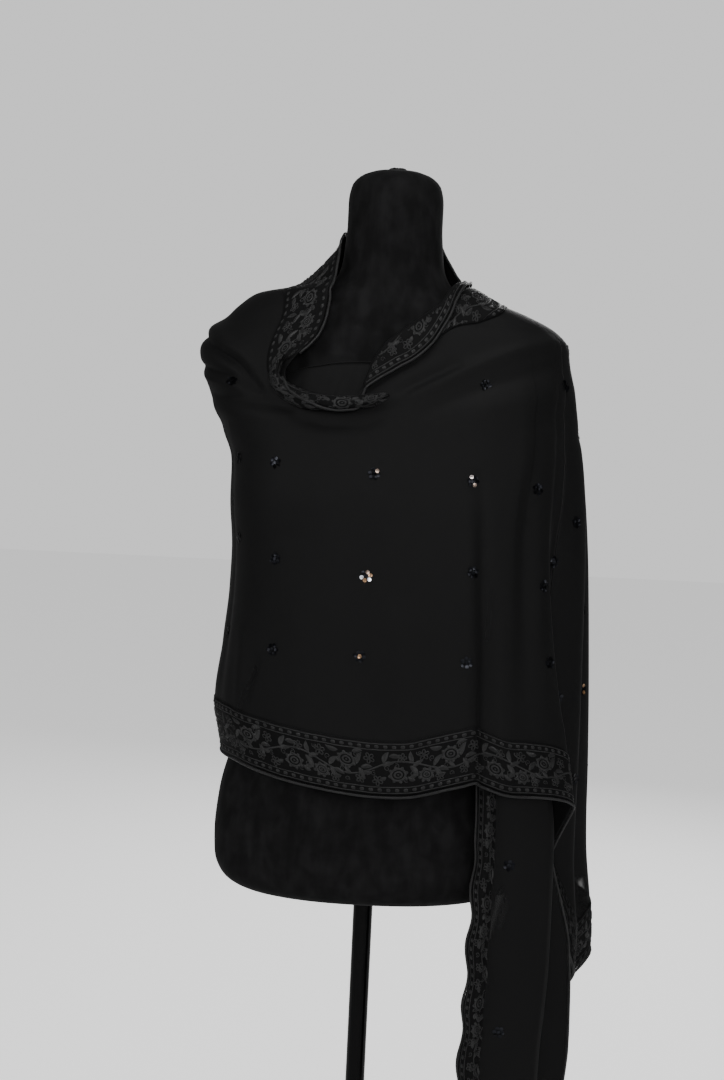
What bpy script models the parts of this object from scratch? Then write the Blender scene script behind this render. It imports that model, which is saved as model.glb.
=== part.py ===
"""Evening stole of sheer black cloth, wrapped round a velvet dress form on a stand.

The stole is one long cloth. Its first end hangs in front from the form's left shoulder, the cloth
runs behind the neck, over the right shoulder and across the chest with a slack cowl, and its
second end is thrown over the left shoulder, where it falls in folds at the side and back.
Metres, +Z up, the front faces -Y, and the origin is on the floor under the pole.
"""

import math

import bmesh
import bpy
import numpy as np

COLLECTION = "evening_stole_on_dress_form"

# Driving sizes
FORM_BOTTOM = 0.798
POLE_RADIUS = 0.0105
BASE_RADIUS = 0.150
BASE_HEIGHT = 0.022
CLOTH = 0.0014
BORDER = 0.0010
GAP = 0.0003
BORDER_WIDTH = 0.055
PIPING_RADIUS = 0.0015
TAIL_END_Z = 0.500
FINE = 160

# The form's level sections: height, half width, depth in front, depth behind, squareness
FORM_SECTIONS = np.array([
    # z      half    front   back   power
    (1.5615, 0.0270, 0.0280, 0.0290, 2.0),
    (1.5570, 0.0380, 0.0390, 0.0400, 2.0),
    (1.5470, 0.0470, 0.0480, 0.0490, 2.0),
    (1.5300, 0.0500, 0.0515, 0.0530, 2.0),
    (1.5060, 0.0500, 0.0525, 0.0540, 2.0),
    (1.4850, 0.0515, 0.0535, 0.0560, 2.0),
    (1.4640, 0.0540, 0.0545, 0.0600, 2.0),
    (1.4450, 0.0635, 0.0560, 0.0680, 2.0),
    (1.4290, 0.0880, 0.0590, 0.0770, 2.1),
    (1.4120, 0.1300, 0.0630, 0.0860, 2.1),
    (1.3950, 0.1590, 0.0660, 0.0920, 2.2),
    (1.3720, 0.1780, 0.0720, 0.0970, 2.3),
    (1.3420, 0.1800, 0.0850, 0.1000, 2.4),
    (1.3000, 0.1690, 0.1010, 0.1010, 2.3),
    (1.2550, 0.1520, 0.1130, 0.0990, 2.2),
    (1.2100, 0.1450, 0.1170, 0.0960, 2.2),
    (1.1500, 0.1360, 0.1050, 0.0890, 2.2),
    (1.0900, 0.1250, 0.0880, 0.0830, 2.2),
    (1.0400, 0.1200, 0.0800, 0.0830, 2.2),
    (0.9900, 0.1330, 0.0850, 0.0950, 2.2),
    (0.9450, 0.1500, 0.0950, 0.1090, 2.3),
    (0.9000, 0.1610, 0.1030, 0.1180, 2.3),
    (0.8600, 0.1645, 0.1060, 0.1200, 2.4),
    (0.8340, 0.1635, 0.1050, 0.1190, 2.4),
    (0.8150, 0.1560, 0.0990, 0.1130, 2.4),
    (0.8030, 0.1390, 0.0840, 0.0970, 2.3),
    (FORM_BOTTOM, 0.1100, 0.0600, 0.0700, 2.2),
])
FORM_AROUND = 44

# The outermost cloth's level sections: height, half widths at the viewer's left and right, depths
WRAP_SECTIONS = np.array([
    # z      left    right   front   back   power
    (1.5200, 0.0535, 0.0540, 0.0560, 0.0580, 2.0),
    (1.5060, 0.0528, 0.0545, 0.0565, 0.0590, 2.0),
    (1.4850, 0.0565, 0.0570, 0.0595, 0.0640, 2.0),
    (1.4650, 0.0710, 0.0650, 0.0625, 0.0760, 2.0),
    (1.4500, 0.0860, 0.0750, 0.0645, 0.0860, 2.0),
    (1.4400, 0.1000, 0.0940, 0.0665, 0.0920, 2.1),
    (1.4300, 0.1420, 0.1130, 0.0690, 0.0970, 2.1),
    (1.4180, 0.1590, 0.1450, 0.0720, 0.1010, 2.2),
    (1.4030, 0.1765, 0.1750, 0.0760, 0.1050, 2.2),
    (1.3880, 0.1905, 0.1885, 0.0820, 0.1080, 2.3),
    (1.3680, 0.1995, 0.1920, 0.0900, 0.1110, 2.4),
    (1.3420, 0.1925, 0.1985, 0.1010, 0.1130, 2.5),
    (1.3130, 0.1825, 0.2035, 0.1120, 0.1140, 2.6),
    (1.2900, 0.1732, 0.2080, 0.1190, 0.1130, 2.7),
    (1.2570, 0.1605, 0.2140, 0.1255, 0.1110, 2.8),
    (1.2140, 0.1590, 0.2195, 0.1300, 0.1080, 2.9),
    (1.1600, 0.1545, 0.2245, 0.1310, 0.1060, 2.9),
    (1.1200, 0.1555, 0.2272, 0.1310, 0.1070, 2.9),
    (1.0660, 0.1610, 0.2305, 0.1300, 0.1100, 2.9),
    (1.0070, 0.1675, 0.2340, 0.1290, 0.1180, 2.9),
    (0.9490, 0.1580, 0.2370, 0.1290, 0.1240, 2.9),
    (0.8550, 0.1590, 0.2420, 0.1280, 0.1300, 2.9),
    (0.7560, 0.1600, 0.2540, 0.1260, 0.1350, 2.9),
    (0.6800, 0.1600, 0.2560, 0.1250, 0.1380, 2.9),
])

# Lines down the cloth from its neck edge to its hem. Azimuths are in degrees from the front
# towards the viewer's right, heights in metres. The zone is the border at the neck edge, and turn
# is how much of it is turned outwards. in_neck, in_zone, in_mid and in_hem push the line in or out
# in millimetres. cells counts the faces up to the next line.
LINE_FIELDS = ("neck_az neck_z zone_az zone_z mid_az hem_az hem_z "
               "in_neck in_zone in_mid in_hem turn cells").split()
WRAP_LINES = {
    "left_seam": (-104, 1.4970, -106, 1.4520, -112, -112, 0.9530, 0, 0, 0, 0, 0.000, 2),
    "left_side": (-82, 1.4840, -86, 1.4430, -92, -88, 0.9500, 0, 0, 0, 0, 0.000, 2),
    "arm_fold": (-60, 1.4690, -71, 1.4340, -77, -72, 0.9530, 0, 0, 0, 1, 0.000, 2),
    "collar_top": (-49, 1.4400, -63, 1.4170, -68, -60, 0.9530, 0, 0, 0, 0, 0.000, 1),
    "collar_mid": (-44, 1.4200, -60, 1.3960, -62.5, -53, 0.9510, 0, 0, 0, 0, 0.000, 1),
    "collar_low": (-42.7, 1.3905, -57.6, 1.3680, -57, -47, 0.9480, 0, 0, 0, 0, 0.000, 1),
    "collar_foot": (-44.5, 1.3770, -56, 1.3540, -52, -42, 0.9455, 0, 0, 0, 0, 0.000, 1),
    "hook": (-47, 1.3670, -54, 1.3430, -47, -37, 0.9430, 0, 0, 0, 0, 0.000, 1),
    "roll_top": (-49, 1.3500, -51, 1.3320, -42, -32.5, 0.9410, 0, 0, 0, 0, 0.000, 1),
    "roll_left": (-46, 1.3340, -47.2, 1.3180, -37, -28, 0.9390, 0, 0, 0, 0, 0.000, 1),
    "roll_low": (-40.5, 1.3235, -41, 1.3050, -31.5, -22.5, 0.9370, 0, 0, 0, 0, 0.000, 1),
    "roll_mid": (-31, 1.3190, -31, 1.2990, -24.5, -15.5, 0.9345, 0, 0, 0, 0, 0.000, 1),
    "roll_right": (-21, 1.3190, -20, 1.2990, -16.5, -8, 0.9325, 0, 0, 0, 0, 0.000, 1),
    "lapel_foot": (-13, 1.3370, -10, 1.3170, -9.5, -1.5, 0.9312, 0, 0, 0, 0, 0.004, 1),
    "lapel_low": (-10, 1.3560, -2, 1.3300, -4.5, 4.5, 0.9308, 0, 0, 0, 0, 0.015, 1),
    "lapel_mid": (-3.5, 1.3760, 7, 1.3430, 2, 10.5, 0.9308, 0, 0, 0, 0, 0.026, 1),
    "lapel_wide": (7, 1.3900, 17, 1.3560, 9, 17.5, 0.9320, 0, 0, 0, 0, 0.030, 1),
    "lapel_high": (18, 1.4010, 27, 1.3690, 17, 24.5, 0.9365, 0, 0, 1, 2, 0.027, 1),
    "lapel_apex": (28, 1.4120, 35, 1.3840, 24, 30.5, 0.9420, 0, 0, 2, 4, 0.020, 1),
    "ridge": (37, 1.4220, 42, 1.3940, 30.5, 35.5, 0.9460, 0, 0, 2, 5, 0.013, 1),
    "ridge_side": (43, 1.4310, 49, 1.4010, 36.5, 39.5, 0.9490, 0, 0, 1, 3, 0.009, 1),
    "dip": (49, 1.4390, 55, 1.4070, 42, 43.5, 0.9440, 0, 0, -1, -4, 0.007, 1),
    "chest_side": (58, 1.4440, 62, 1.4130, 47.5, 49.5, 0.9360, 0, 0, -2, 2, 0.005, 2),
    "bust_side": (72, 1.4470, 71, 1.4210, 53, 57, 0.9335, 0, 0, -8, 0, 0.004, 1),
    "near_fold": (80, 1.4490, 77, 1.4250, 57, 63.5, 0.9290, 0, 0, -10, -2, 0.004, 2),
    "front_fold": (86, 1.4500, 82, 1.4260, 61, 69, 0.9200, 0, 0, -13, -4, 0.004, 2),
    "front_turn": (90, 1.4503, 85.5, 1.4265, 66.5, 76.7, 0.8280, 0, 0, -25, -47, 0.004, 2),
    "side_ridge": (92, 1.4500, 89, 1.4265, 77, 84.5, 0.7270, 0, 0, -9, -25, 0.004, 2),
    "side_valley": (93.5, 1.4496, 92, 1.4265, 84.5, 90, 0.7000, 0, 0, -16, -36, 0.004, 2),
    "outer_ridge": (95, 1.4492, 96, 1.4265, 93, 97, 0.7330, 0, 0, 0, 0, 0.004, 3),
    "back_valley": (97, 1.4488, 101, 1.4265, 107, 111, 0.7480, 0, 0, -6, -15, 0.004, 2),
    "back_ridge": (99, 1.4484, 107, 1.4260, 120, 123, 0.7620, 0, 0, 3, 6, 0.004, 2),
    "back_valley_2": (101.5, 1.4480, 112, 1.4260, 132, 134, 0.7560, 0, 0, -4, -13, 0.004, 2),
    "edge_line": (104, 1.4475, 117, 1.4260, 144, 146, 0.7680, 0, 0, 3, 6, 0.004, 2),
    "edge_valley": (107, 1.4470, 122, 1.4255, 154, 157, 0.7620, 0, 0, -2, -7, 0.004, 2),
    "inner_edge": (110, 1.4465, 127, 1.4255, 163, 168, 0.7700, 0, 0, 2, 2, 0.004, 0),
}
BACK_LINES = {
    "back_seam": (-104.4, 1.4970, -106.4, 1.4520, -112.3, -112.3, 0.9530, 0, 0, 0, 0, 0, 2),
    "rib_fold": (-128, 1.5020, -129, 1.4550, -130, -131, 0.9540, 0, 0, 2, 4, 0, 2),
    "rib_hollow": (-150, 1.5050, -150, 1.4565, -149, -149, 0.9590, 0, 0, -2, -6, 0, 2),
    "spine_fold": (-176, 1.5060, -174, 1.4570, -168, -166, 0.9700, 0, 0, 1, 2, 0, 2),
    "spine_hollow": (-200, 1.5050, -196, 1.4555, -186, -182, 0.9920, 0, -2, -6, -9, 0, 2),
    "blade_fold": (-222, 1.4990, -217, 1.4500, -204, -197, 1.0280, -1, -6, -8, -9, 0, 2),
    "blade_hollow": (-240, 1.4910, -234, 1.4430, -220, -211, 1.0800, -2.0, -8, -10, -11, 0, 2),
    "under_fold": (-251, 1.4800, -250, 1.4400, -236, -226, 1.1500, -2.6, -10, -10, -10, 0, 2),
    "shoulder_under": (-262, 1.4660, -261, 1.4430, -252, -244, 1.2400, -3.2, -11.5, -11, -10, 0, 2),
    "shoulder_end": (-271, 1.4510, -270, 1.4430, -268, -264, 1.3300, -3.8, -12, -11, -10, 0, 0),
}
BACK_BORDER_END = "blade_hollow"
UPPER_ROWS = 5
UPPER_STEP = 0.018
LOWER_ROWS = 9
LAPEL_LIFT = 0.0010
SEAM = 0.0005

# The hanging first end, from the shoulder down: each fold line's place at each level
TAIL_LEVELS = (1.330, 1.200, 1.080, 0.960, 0.880, 0.760, 0.700, 0.650, TAIL_END_Z)
TAIL_ROWS_BETWEEN = (1, 1, 1, 2, 2, 2, 2, 1, 2, 1, 1, 1)
TAIL_FOLDS = {
    # name: (x, y) in metres at the nine levels
    "left_edge": (
        (0.092, -0.0895), (0.098, -0.108), (0.100, -0.105), (0.110, -0.102),
        (0.113, -0.104), (0.111, -0.104), (0.110, -0.104), (0.108, -0.103), (0.108, -0.101)),
    "edge_ridge": (
        (0.101, -0.0880), (0.107, -0.109), (0.108, -0.108), (0.119, -0.109),
        (0.122, -0.111), (0.120, -0.111), (0.119, -0.111), (0.117, -0.110), (0.117, -0.108)),
    "edge_valley": (
        (0.110, -0.0840), (0.115, -0.105), (0.115, -0.104), (0.127, -0.101),
        (0.131, -0.102), (0.130, -0.102), (0.129, -0.102), (0.128, -0.101), (0.128, -0.099)),
    "face": (
        (0.126, -0.0780), (0.130, -0.098), (0.128, -0.101), (0.152, -0.097),
        (0.160, -0.098), (0.162, -0.097), (0.160, -0.097), (0.158, -0.097), (0.158, -0.095)),
    "right_fold": (
        (0.139, -0.0710), (0.143, -0.088), (0.142, -0.093), (0.177, -0.088),
        (0.189, -0.088), (0.191, -0.087), (0.189, -0.087), (0.186, -0.088), (0.185, -0.086)),
    "right_bend": (
        (0.144, -0.0660), (0.147, -0.082), (0.145, -0.089), (0.181, -0.082),
        (0.193, -0.082), (0.195, -0.080), (0.193, -0.080), (0.190, -0.081), (0.189, -0.079)),
    "return": (
        (0.149, -0.0620), (0.150, -0.075), (0.147, -0.084), (0.158, -0.080),
        (0.162, -0.079), (0.165, -0.077), (0.166, -0.077), (0.167, -0.077), (0.167, -0.075)),
    "return_bend": (
        (0.153, -0.0580), (0.152, -0.070), (0.149, -0.079), (0.158, -0.074),
        (0.162, -0.072), (0.165, -0.070), (0.166, -0.070), (0.167, -0.070), (0.167, -0.068)),
    "under_edge": (
        (0.160, -0.0520), (0.157, -0.062), (0.153, -0.073), (0.174, -0.070),
        (0.186, -0.067), (0.2165, -0.060), (0.2200, -0.059), (0.221, -0.058), (0.206, -0.056)),
}
TAIL_CELLS = (1, 1, 2, 2, 1, 2, 1, 3)
# Where the hanging end crosses the shoulder: azimuth and height at its two sides
TAIL_SHOULDER = (
    ((83.0, 1.4337), (83.0, 1.3960)),
    ((58.0, 1.3980), (75.0, 1.3650)),
)
TAIL_SHOULDER_ROWS = 4
TAIL_SHOULDER_OFF = 0.009

# The crumpled border along the bottom of the cowl: azimuth, height, radius
ROLL_PATH = np.array([
    # az     z      radius
    (-49.0, 1.3640, 0.0034),
    (-49.6, 1.3560, 0.0052),
    (-49.4, 1.3440, 0.0064),
    (-46.0, 1.3320, 0.0070),
    (-40.0, 1.3235, 0.0075),
    (-32.0, 1.3190, 0.0078),
    (-23.0, 1.3180, 0.0076),
    (-14.0, 1.3195, 0.0068),
    (-6.5, 1.3225, 0.0056),
    (0.0, 1.3255, 0.0040),
    (3.0, 1.3270, 0.0024),
])
ROLL_OUT = 0.0100
ROLL_SIDES = 10
ROLL_STEPS = 30
ROLL_TWIST = 5.0
ROLL_LOBE = 0.16

# The soft fold of cloth across the chest inside the cowl: azimuth, top height
CHEST_FOLD = np.array([
    (-56.0, 1.3450),
    (-44.0, 1.3540),
    (-30.0, 1.3590),
    (-12.0, 1.3605),
    (8.0, 1.3600),
    (30.0, 1.3560),
])
CHEST_FOLD_OFF = 0.0016
CHEST_FOLD_LOW = 1.285


def smooth(x, xs, ys):
    """Smooth curve through (xs, ys) that never overshoots: cubics with harmonic mean slopes."""
    xs = np.asarray(xs, float)
    ys = np.asarray(ys, float)
    x = np.clip(np.asarray(x, float), xs[0], xs[-1])
    step = np.diff(xs)
    slope = np.diff(ys) / step
    before, after = slope[:-1], slope[1:]
    same = before * after > 0
    total = np.where(same, before + after, 1.0)
    inner = np.where(same, 2 * before * after / total, 0.0)
    tangent = np.concatenate([slope[:1], inner, slope[-1:]])
    i = np.clip(np.searchsorted(xs, x, side="right") - 1, 0, len(xs) - 2)
    s = (x - xs[i]) / step[i]
    rise = ys[i + 1] - ys[i]
    bend = s * (1 - s) * ((1 - s) * (tangent[i] * step[i] - rise) - s * (tangent[i + 1] * step[i] - rise))
    return ys[i] + rise * s + bend


class Sections:
    """Level sections stacked into a surface, read at a distance down the side and an azimuth."""

    def __init__(self, table):
        widths = table[:, 1:-1]
        middle = widths[:, : max(1, widths.shape[1] - 2)].mean(axis=1)
        run = np.hypot(np.diff(table[:, 0]), np.diff(middle))
        self.table = table
        self.down = np.concatenate([[0], np.cumsum(run)])

    def at_height(self, z):
        """Distance down the side at a height."""
        samples = np.linspace(0, self.down[-1], 2000)
        heights = smooth(samples, self.down, self.table[:, 0])
        return np.interp(-np.asarray(z, float), -heights, samples)

    def point(self, down, azimuth, push=0.0):
        """Point on the superellipse section at this distance down, pushed out level by push."""
        columns = [smooth(down, self.down, self.table[:, k]) for k in range(self.table.shape[1])]
        z, front, back, power = columns[0], columns[-3], columns[-2], columns[-1]
        left, right = columns[1], columns[-4]
        east, south = np.sin(azimuth), np.cos(azimuth)
        half = np.where(east < 0, left, right)
        depth = np.where(south > 0, front, back)
        size = (np.abs(east) / half) ** power + (np.abs(south) / depth) ** power
        radius = size ** (-1 / power) + push
        return np.stack([radius * east, -radius * south, z * np.ones_like(radius)], axis=-1)


FORM = Sections(FORM_SECTIONS)
WRAP = Sections(WRAP_SECTIONS)


def unit(v):
    return v / np.maximum(np.linalg.norm(v, axis=-1, keepdims=True), 1e-12)


def grid_normals(points, facing):
    """Unit normals of a grid of points, turned so that on the whole they look along facing."""
    across = np.gradient(points, axis=1)
    along = np.gradient(points, axis=0)
    normals = unit(np.cross(along, across))
    if (normals * facing).sum() < 0:
        normals = -normals
    return normals


class Panel:
    """A stretch of cloth as a grid of points and normals: rows from its neck edge to its hem."""

    def __init__(self, lines):
        table = {name: np.array([row[k] for row in lines.values()], float)
                 for k, name in enumerate(LINE_FIELDS)}
        cells = table["cells"][:-1].astype(int)
        self.column = dict(zip(lines, np.concatenate([[0], np.cumsum(cells)])))
        steps = [i + k / n for i, n in enumerate(cells) for k in range(n)]
        at = np.array(steps + [len(cells)])
        line = np.arange(len(lines))
        read = {name: smooth(at, line, table[name]) for name in LINE_FIELDS[:-1]}
        top = WRAP.at_height(read["neck_z"])
        low = WRAP.at_height(read["hem_z"])
        under = WRAP.at_height(read["zone_z"])
        stations = np.array([top, under, (under + low) / 2, low])
        azimuths = np.array([read[name] for name in ("neck_az", "zone_az", "mid_az", "hem_az")])
        pushes = np.array([read[name] for name in ("in_neck", "in_zone", "in_mid", "in_hem")]) / 1000
        share = np.linspace(0, 1, FINE + 1)
        self.fine = np.zeros((FINE + 1, len(at), 3))
        self.zone = np.zeros(len(at))
        for j in range(len(at)):
            down = top[j] + (low[j] - top[j]) * share
            azimuth = smooth(down, stations[:, j], azimuths[:, j])
            push = smooth(down, stations[:, j], pushes[:, j])
            self.fine[:, j] = WRAP.point(down, np.radians(azimuth), push)
            self.zone[j] = np.interp(under[j], down, run_along(self.fine[:, j]))
        self.points = np.stack([self.rows(self.fine[:, j], self.zone[j]) for j in range(len(at))], axis=1)
        self.normals = grid_normals(self.points, self.points * (1, 1, 0))
        self.turn = read["turn"]

    @staticmethod
    def rows(line, zone):
        """Points of one line: two rows in each border, close rows over the shoulder, even ones below."""
        run = run_along(line)
        room = run[-1] - BORDER_WIDTH - zone
        step = min(UPPER_STEP, room / (UPPER_ROWS + LOWER_ROWS))
        upper = zone + step * np.arange(UPPER_ROWS)
        lower = np.linspace(zone + step * UPPER_ROWS, run[-1] - BORDER_WIDTH, LOWER_ROWS + 1)
        last = (run[-1] - BORDER_WIDTH / 2, run[-1])
        return place_along(line, np.concatenate([[0, zone / 2], upper, lower, last]))

    def part(self, first, last, cut_first=0.0, cut_last=0.0):
        """Points and normals from one column to another, cut back at seams by a small amount."""
        points = self.points[:, first:last + 1].copy()
        points[:, 0] += unit(points[:, 1] - points[:, 0]) * cut_first
        points[:, -1] += unit(points[:, -2] - points[:, -1]) * cut_last
        return points, self.normals[:, first:last + 1]


def run_along(line):
    return np.concatenate([[0], np.cumsum(np.linalg.norm(np.diff(line, axis=0), axis=1))])


def place_along(line, at):
    run = run_along(line)
    return np.stack([np.interp(at, run, line[:, k]) for k in range(3)], axis=1)


def triangles_of(rows, cols, start=0):
    """Two triangles for each cell of a grid, all cut along the same diagonal."""
    index = start + np.arange(rows * cols).reshape(rows, cols)
    a, b = index[:-1, :-1].ravel(), index[:-1, 1:].ravel()
    c, d = index[1:, 1:].ravel(), index[1:, :-1].ravel()
    return np.concatenate([np.stack([a, d, c], 1), np.stack([a, c, b], 1)])


def rim_of(rows, cols):
    """Indices of a grid's border, in order round it."""
    index = np.arange(rows * cols).reshape(rows, cols)
    return np.concatenate([index[0, :], index[1:, -1], index[-1, -2::-1], index[-2:0:-1, 0]])


def material_of(name, colour, roughness, metallic=0.0):
    material = bpy.data.materials.new(name)
    material.use_nodes = True
    shader = material.node_tree.nodes["Principled BSDF"]
    shader.inputs["Base Color"].default_value = (*colour, 1.0)
    shader.inputs["Roughness"].default_value = roughness
    shader.inputs["Metallic"].default_value = metallic
    return material


def object_from(name, points, faces, finish):
    """A closed mesh object with its faces looking out."""
    mesh = bpy.data.meshes.new(name)
    mesh.from_pydata(points.tolist(), [], [list(map(int, face)) for face in faces])
    work = bmesh.new()
    work.from_mesh(mesh)
    bmesh.ops.recalc_face_normals(work, faces=work.faces)
    work.to_mesh(mesh)
    work.free()
    mesh.shade_smooth()
    return place(bpy.data.objects.new(name, mesh), finish)


def place(thing, finish):
    material = material_of(thing.name, *FINISHES[finish])
    thing.data.materials.append(material)
    bpy.data.collections[COLLECTION].objects.link(thing)
    return thing


def wall(name, points, normals, inner, outer, finish):
    """A cloth wall from inner to outer along the normals of a grid."""
    rows, cols = points.shape[:2]
    inside = (points + normals * inner).reshape(-1, 3)
    outside = (points + normals * outer).reshape(-1, 3)
    count = rows * cols
    rim = rim_of(rows, cols)
    following = np.roll(rim, -1)
    sides = np.concatenate([
        np.stack([rim, following, following + count], 1),
        np.stack([rim, following + count, rim + count], 1)])
    faces = np.concatenate([triangles_of(rows, cols)[:, ::-1], triangles_of(rows, cols, count), sides])
    return object_from(name, np.concatenate([inside, outside]), faces, finish)


def loft(name, rings, finish):
    """A closed solid through rings of equal count, with a point at the middle of each end."""
    levels, around = rings.shape[:2]
    wrapped = np.concatenate([rings, rings[:, :1]], axis=1)
    faces = triangles_of(levels, around + 1)
    faces = faces // (around + 1) * around + faces % (around + 1) % around
    ends = np.stack([wrapped[0, :-1].mean(axis=0), wrapped[-1, :-1].mean(axis=0)])
    ring = np.arange(around)
    count = levels * around
    caps = [np.stack([ring, np.roll(ring, -1), np.full(around, count)], 1),
            np.stack([ring + count - around, np.roll(ring, -1) + count - around,
                      np.full(around, count + 1)], 1)]
    return object_from(name, np.concatenate([rings.reshape(-1, 3), ends]),
                       np.concatenate([faces, *caps]), finish)


def cord(name, line, finish="piping", radius=PIPING_RADIUS):
    """A round corded edge along a line of points."""
    curve = bpy.data.curves.new(name, "CURVE")
    curve.dimensions = "3D"
    curve.bevel_depth = radius
    curve.bevel_resolution = 1
    curve.use_fill_caps = True
    spline = curve.splines.new("POLY")
    spline.points.add(len(line) - 1)
    spline.points.foreach_set("co", np.concatenate([line, np.ones((len(line), 1))], 1).ravel())
    return place(bpy.data.objects.new(name, curve), finish)


def turned(name, profile, finish, segments=40):
    """A turned solid: a profile of (radius, height) from the top down, and a Screw."""
    mesh = bpy.data.meshes.new(name)
    mesh.from_pydata([(r, 0.0, z) for r, z in profile], [(i, i + 1) for i in range(len(profile) - 1)], [])
    thing = place(bpy.data.objects.new(name, mesh), finish)
    screw = thing.modifiers.new("turn", "SCREW")
    screw.steps = screw.render_steps = segments
    screw.use_merge_vertices = True
    screw.merge_threshold = 0.0001
    screw.use_smooth_shade = True
    return thing


def beside(edge, inner, normals, off, gap=GAP):
    """A line beside an edge of a grid, a piping radius and a gap beyond it, off the panel's middle."""
    along = np.gradient(edge, axis=0)
    out = unit(np.cross(along, normals))
    out *= np.sign(((edge - inner) * out).sum(axis=1, keepdims=True))
    return edge + out * (PIPING_RADIUS + gap) + normals * off


def arc_rounded(radius, height, bevel, steps=4):
    """Profile of a round plate with a rounded upper edge, from its middle down to its underside."""
    turns = np.linspace(0, math.pi / 2, steps + 1)
    edge = [(radius - bevel + bevel * math.sin(a), height - bevel + bevel * math.cos(a)) for a in turns]
    return [(0.0, height), *edge, (radius, 0.0), (0.0, 0.0)]


FINISHES = {
    "velvet": ((0.010, 0.010, 0.011), 0.95),
    "cloth": ((0.012, 0.012, 0.013), 0.75),
    "embroidery": ((0.022, 0.022, 0.024), 0.55),
    "piping": ((0.030, 0.030, 0.032), 0.45),
    "black_enamel": ((0.008, 0.008, 0.009), 0.15),
}


def build_form():
    """Velvet torso with its neck, a small knob on top, the pole and a round base."""
    turns = np.radians(np.arange(FORM_AROUND) * 360 / FORM_AROUND)
    down = FORM.at_height(FORM_SECTIONS[:, 0])
    rings = np.stack([FORM.point(np.full(FORM_AROUND, d), turns) for d in down])
    cap = rings[0].mean(axis=0)
    rings[0, :, 2] = cap[2]
    loft("form_torso", rings, "velvet")
    knob_z = FORM_SECTIONS[0, 0] + GAP
    turned("form_knob", [(0.0, knob_z + 0.0052), (0.006, knob_z + 0.0048), (0.0095, knob_z + 0.003),
                         (0.0105, knob_z), (0.0, knob_z)], "velvet", 20)
    pole_top = FORM_BOTTOM - GAP
    pole_low = BASE_HEIGHT + GAP
    turned("stand_pole", [(0.0, pole_top), (POLE_RADIUS, pole_top), (POLE_RADIUS, pole_low), (0.0, pole_low)],
           "black_enamel", 24)
    turned("stand_base", arc_rounded(BASE_RADIUS, BASE_HEIGHT, 0.008), "black_enamel", 48)


def border_band(name, points, normals):
    """An embroidered band made from a panel's own points, moved out by a gap."""
    wall(name, points, normals, CLOTH / 2 + GAP, CLOTH / 2 + GAP + BORDER, "embroidery")


def build_wrap():
    """The outermost cloth: the front stretch and the end thrown over the shoulder."""
    wrap = Panel(WRAP_LINES)
    half = CLOTH / 2
    column = wrap.column
    seam = column["front_turn"]
    last = wrap.points.shape[1] - 1
    collar_end = column["hook"]
    apex = column["lapel_apex"]
    foot = column["lapel_foot"]
    side = column["edge_line"]
    off = half + GAP / 2

    points, normals = wrap.part(0, seam, 0, SEAM)
    wall("stole_front", points, normals, -half, half, "cloth")
    border_band("front_hem_border", points[-3:], normals[-3:])
    cord("front_hem_piping", beside(points[-1], points[-2], normals[-1], off))
    border_band("collar_border", points[:3, :collar_end + 1], normals[:3, :collar_end + 1])
    cord("collar_piping", beside(points[0], points[1], normals[0], off)[:collar_end + 1])
    border_band("shoulder_border", points[:3, apex:], normals[:3, apex:])

    points, normals = wrap.part(seam, last, SEAM, 0)
    wall("stole_thrown_end", points, normals, -half, half, "cloth")
    side -= seam
    border_band("thrown_hem_border", points[-3:, :side + 1], normals[-3:, :side + 1])
    points_side = points[:, side:].copy()
    points_side[:, 0] += unit(points_side[:, 1] - points_side[:, 0]) * GAP * 2
    border_band("thrown_edge_border", points_side, normals[:, side:])
    border_band("thrown_neck_border", points[:3, :side + 1], normals[:3, :side + 1])
    cord("thrown_hem_piping", beside(points[-1], points[-2], normals[-1], off, 3 * GAP))
    cord("thrown_edge_piping", beside(points[:-1, -1], points[:-1, -2], normals[:-1, -1], off))
    build_lapel(wrap, foot, last)


def build_lapel(wrap, first, last):
    """The part of the neck border that is turned outwards, with its corded edge."""
    steps = np.linspace(0, 1, 4)
    turned_part = [place_along(wrap.fine[:, j], steps * wrap.turn[j]) for j in range(first, last + 1)]
    points = np.stack(turned_part, axis=1)
    normals = grid_normals(points, points * (1, 1, 0))
    low = CLOTH / 2 + BORDER + 2 * GAP + LAPEL_LIFT
    wall("lapel_border", points, normals, low, low + CLOTH, "embroidery")
    cord("lapel_piping", beside(points[-1], points[-2], normals[-1], low + PIPING_RADIUS))


def build_back():
    back = Panel(BACK_LINES)
    half = CLOTH / 2
    points, normals = back.points, back.normals
    wall("stole_back", points, normals, -half, half, "cloth")
    end = back.column[BACK_BORDER_END] + 1
    border_band("back_hem_border", points[-3:, :end], normals[-3:, :end])
    border_band("back_neck_border", points[:3], normals[:3])
    off = half + GAP / 2
    cord("back_hem_piping", beside(points[-1], points[-2], normals[-1], off)[:end])
    cord("back_neck_piping", beside(points[0], points[1], normals[0], off))


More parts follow.
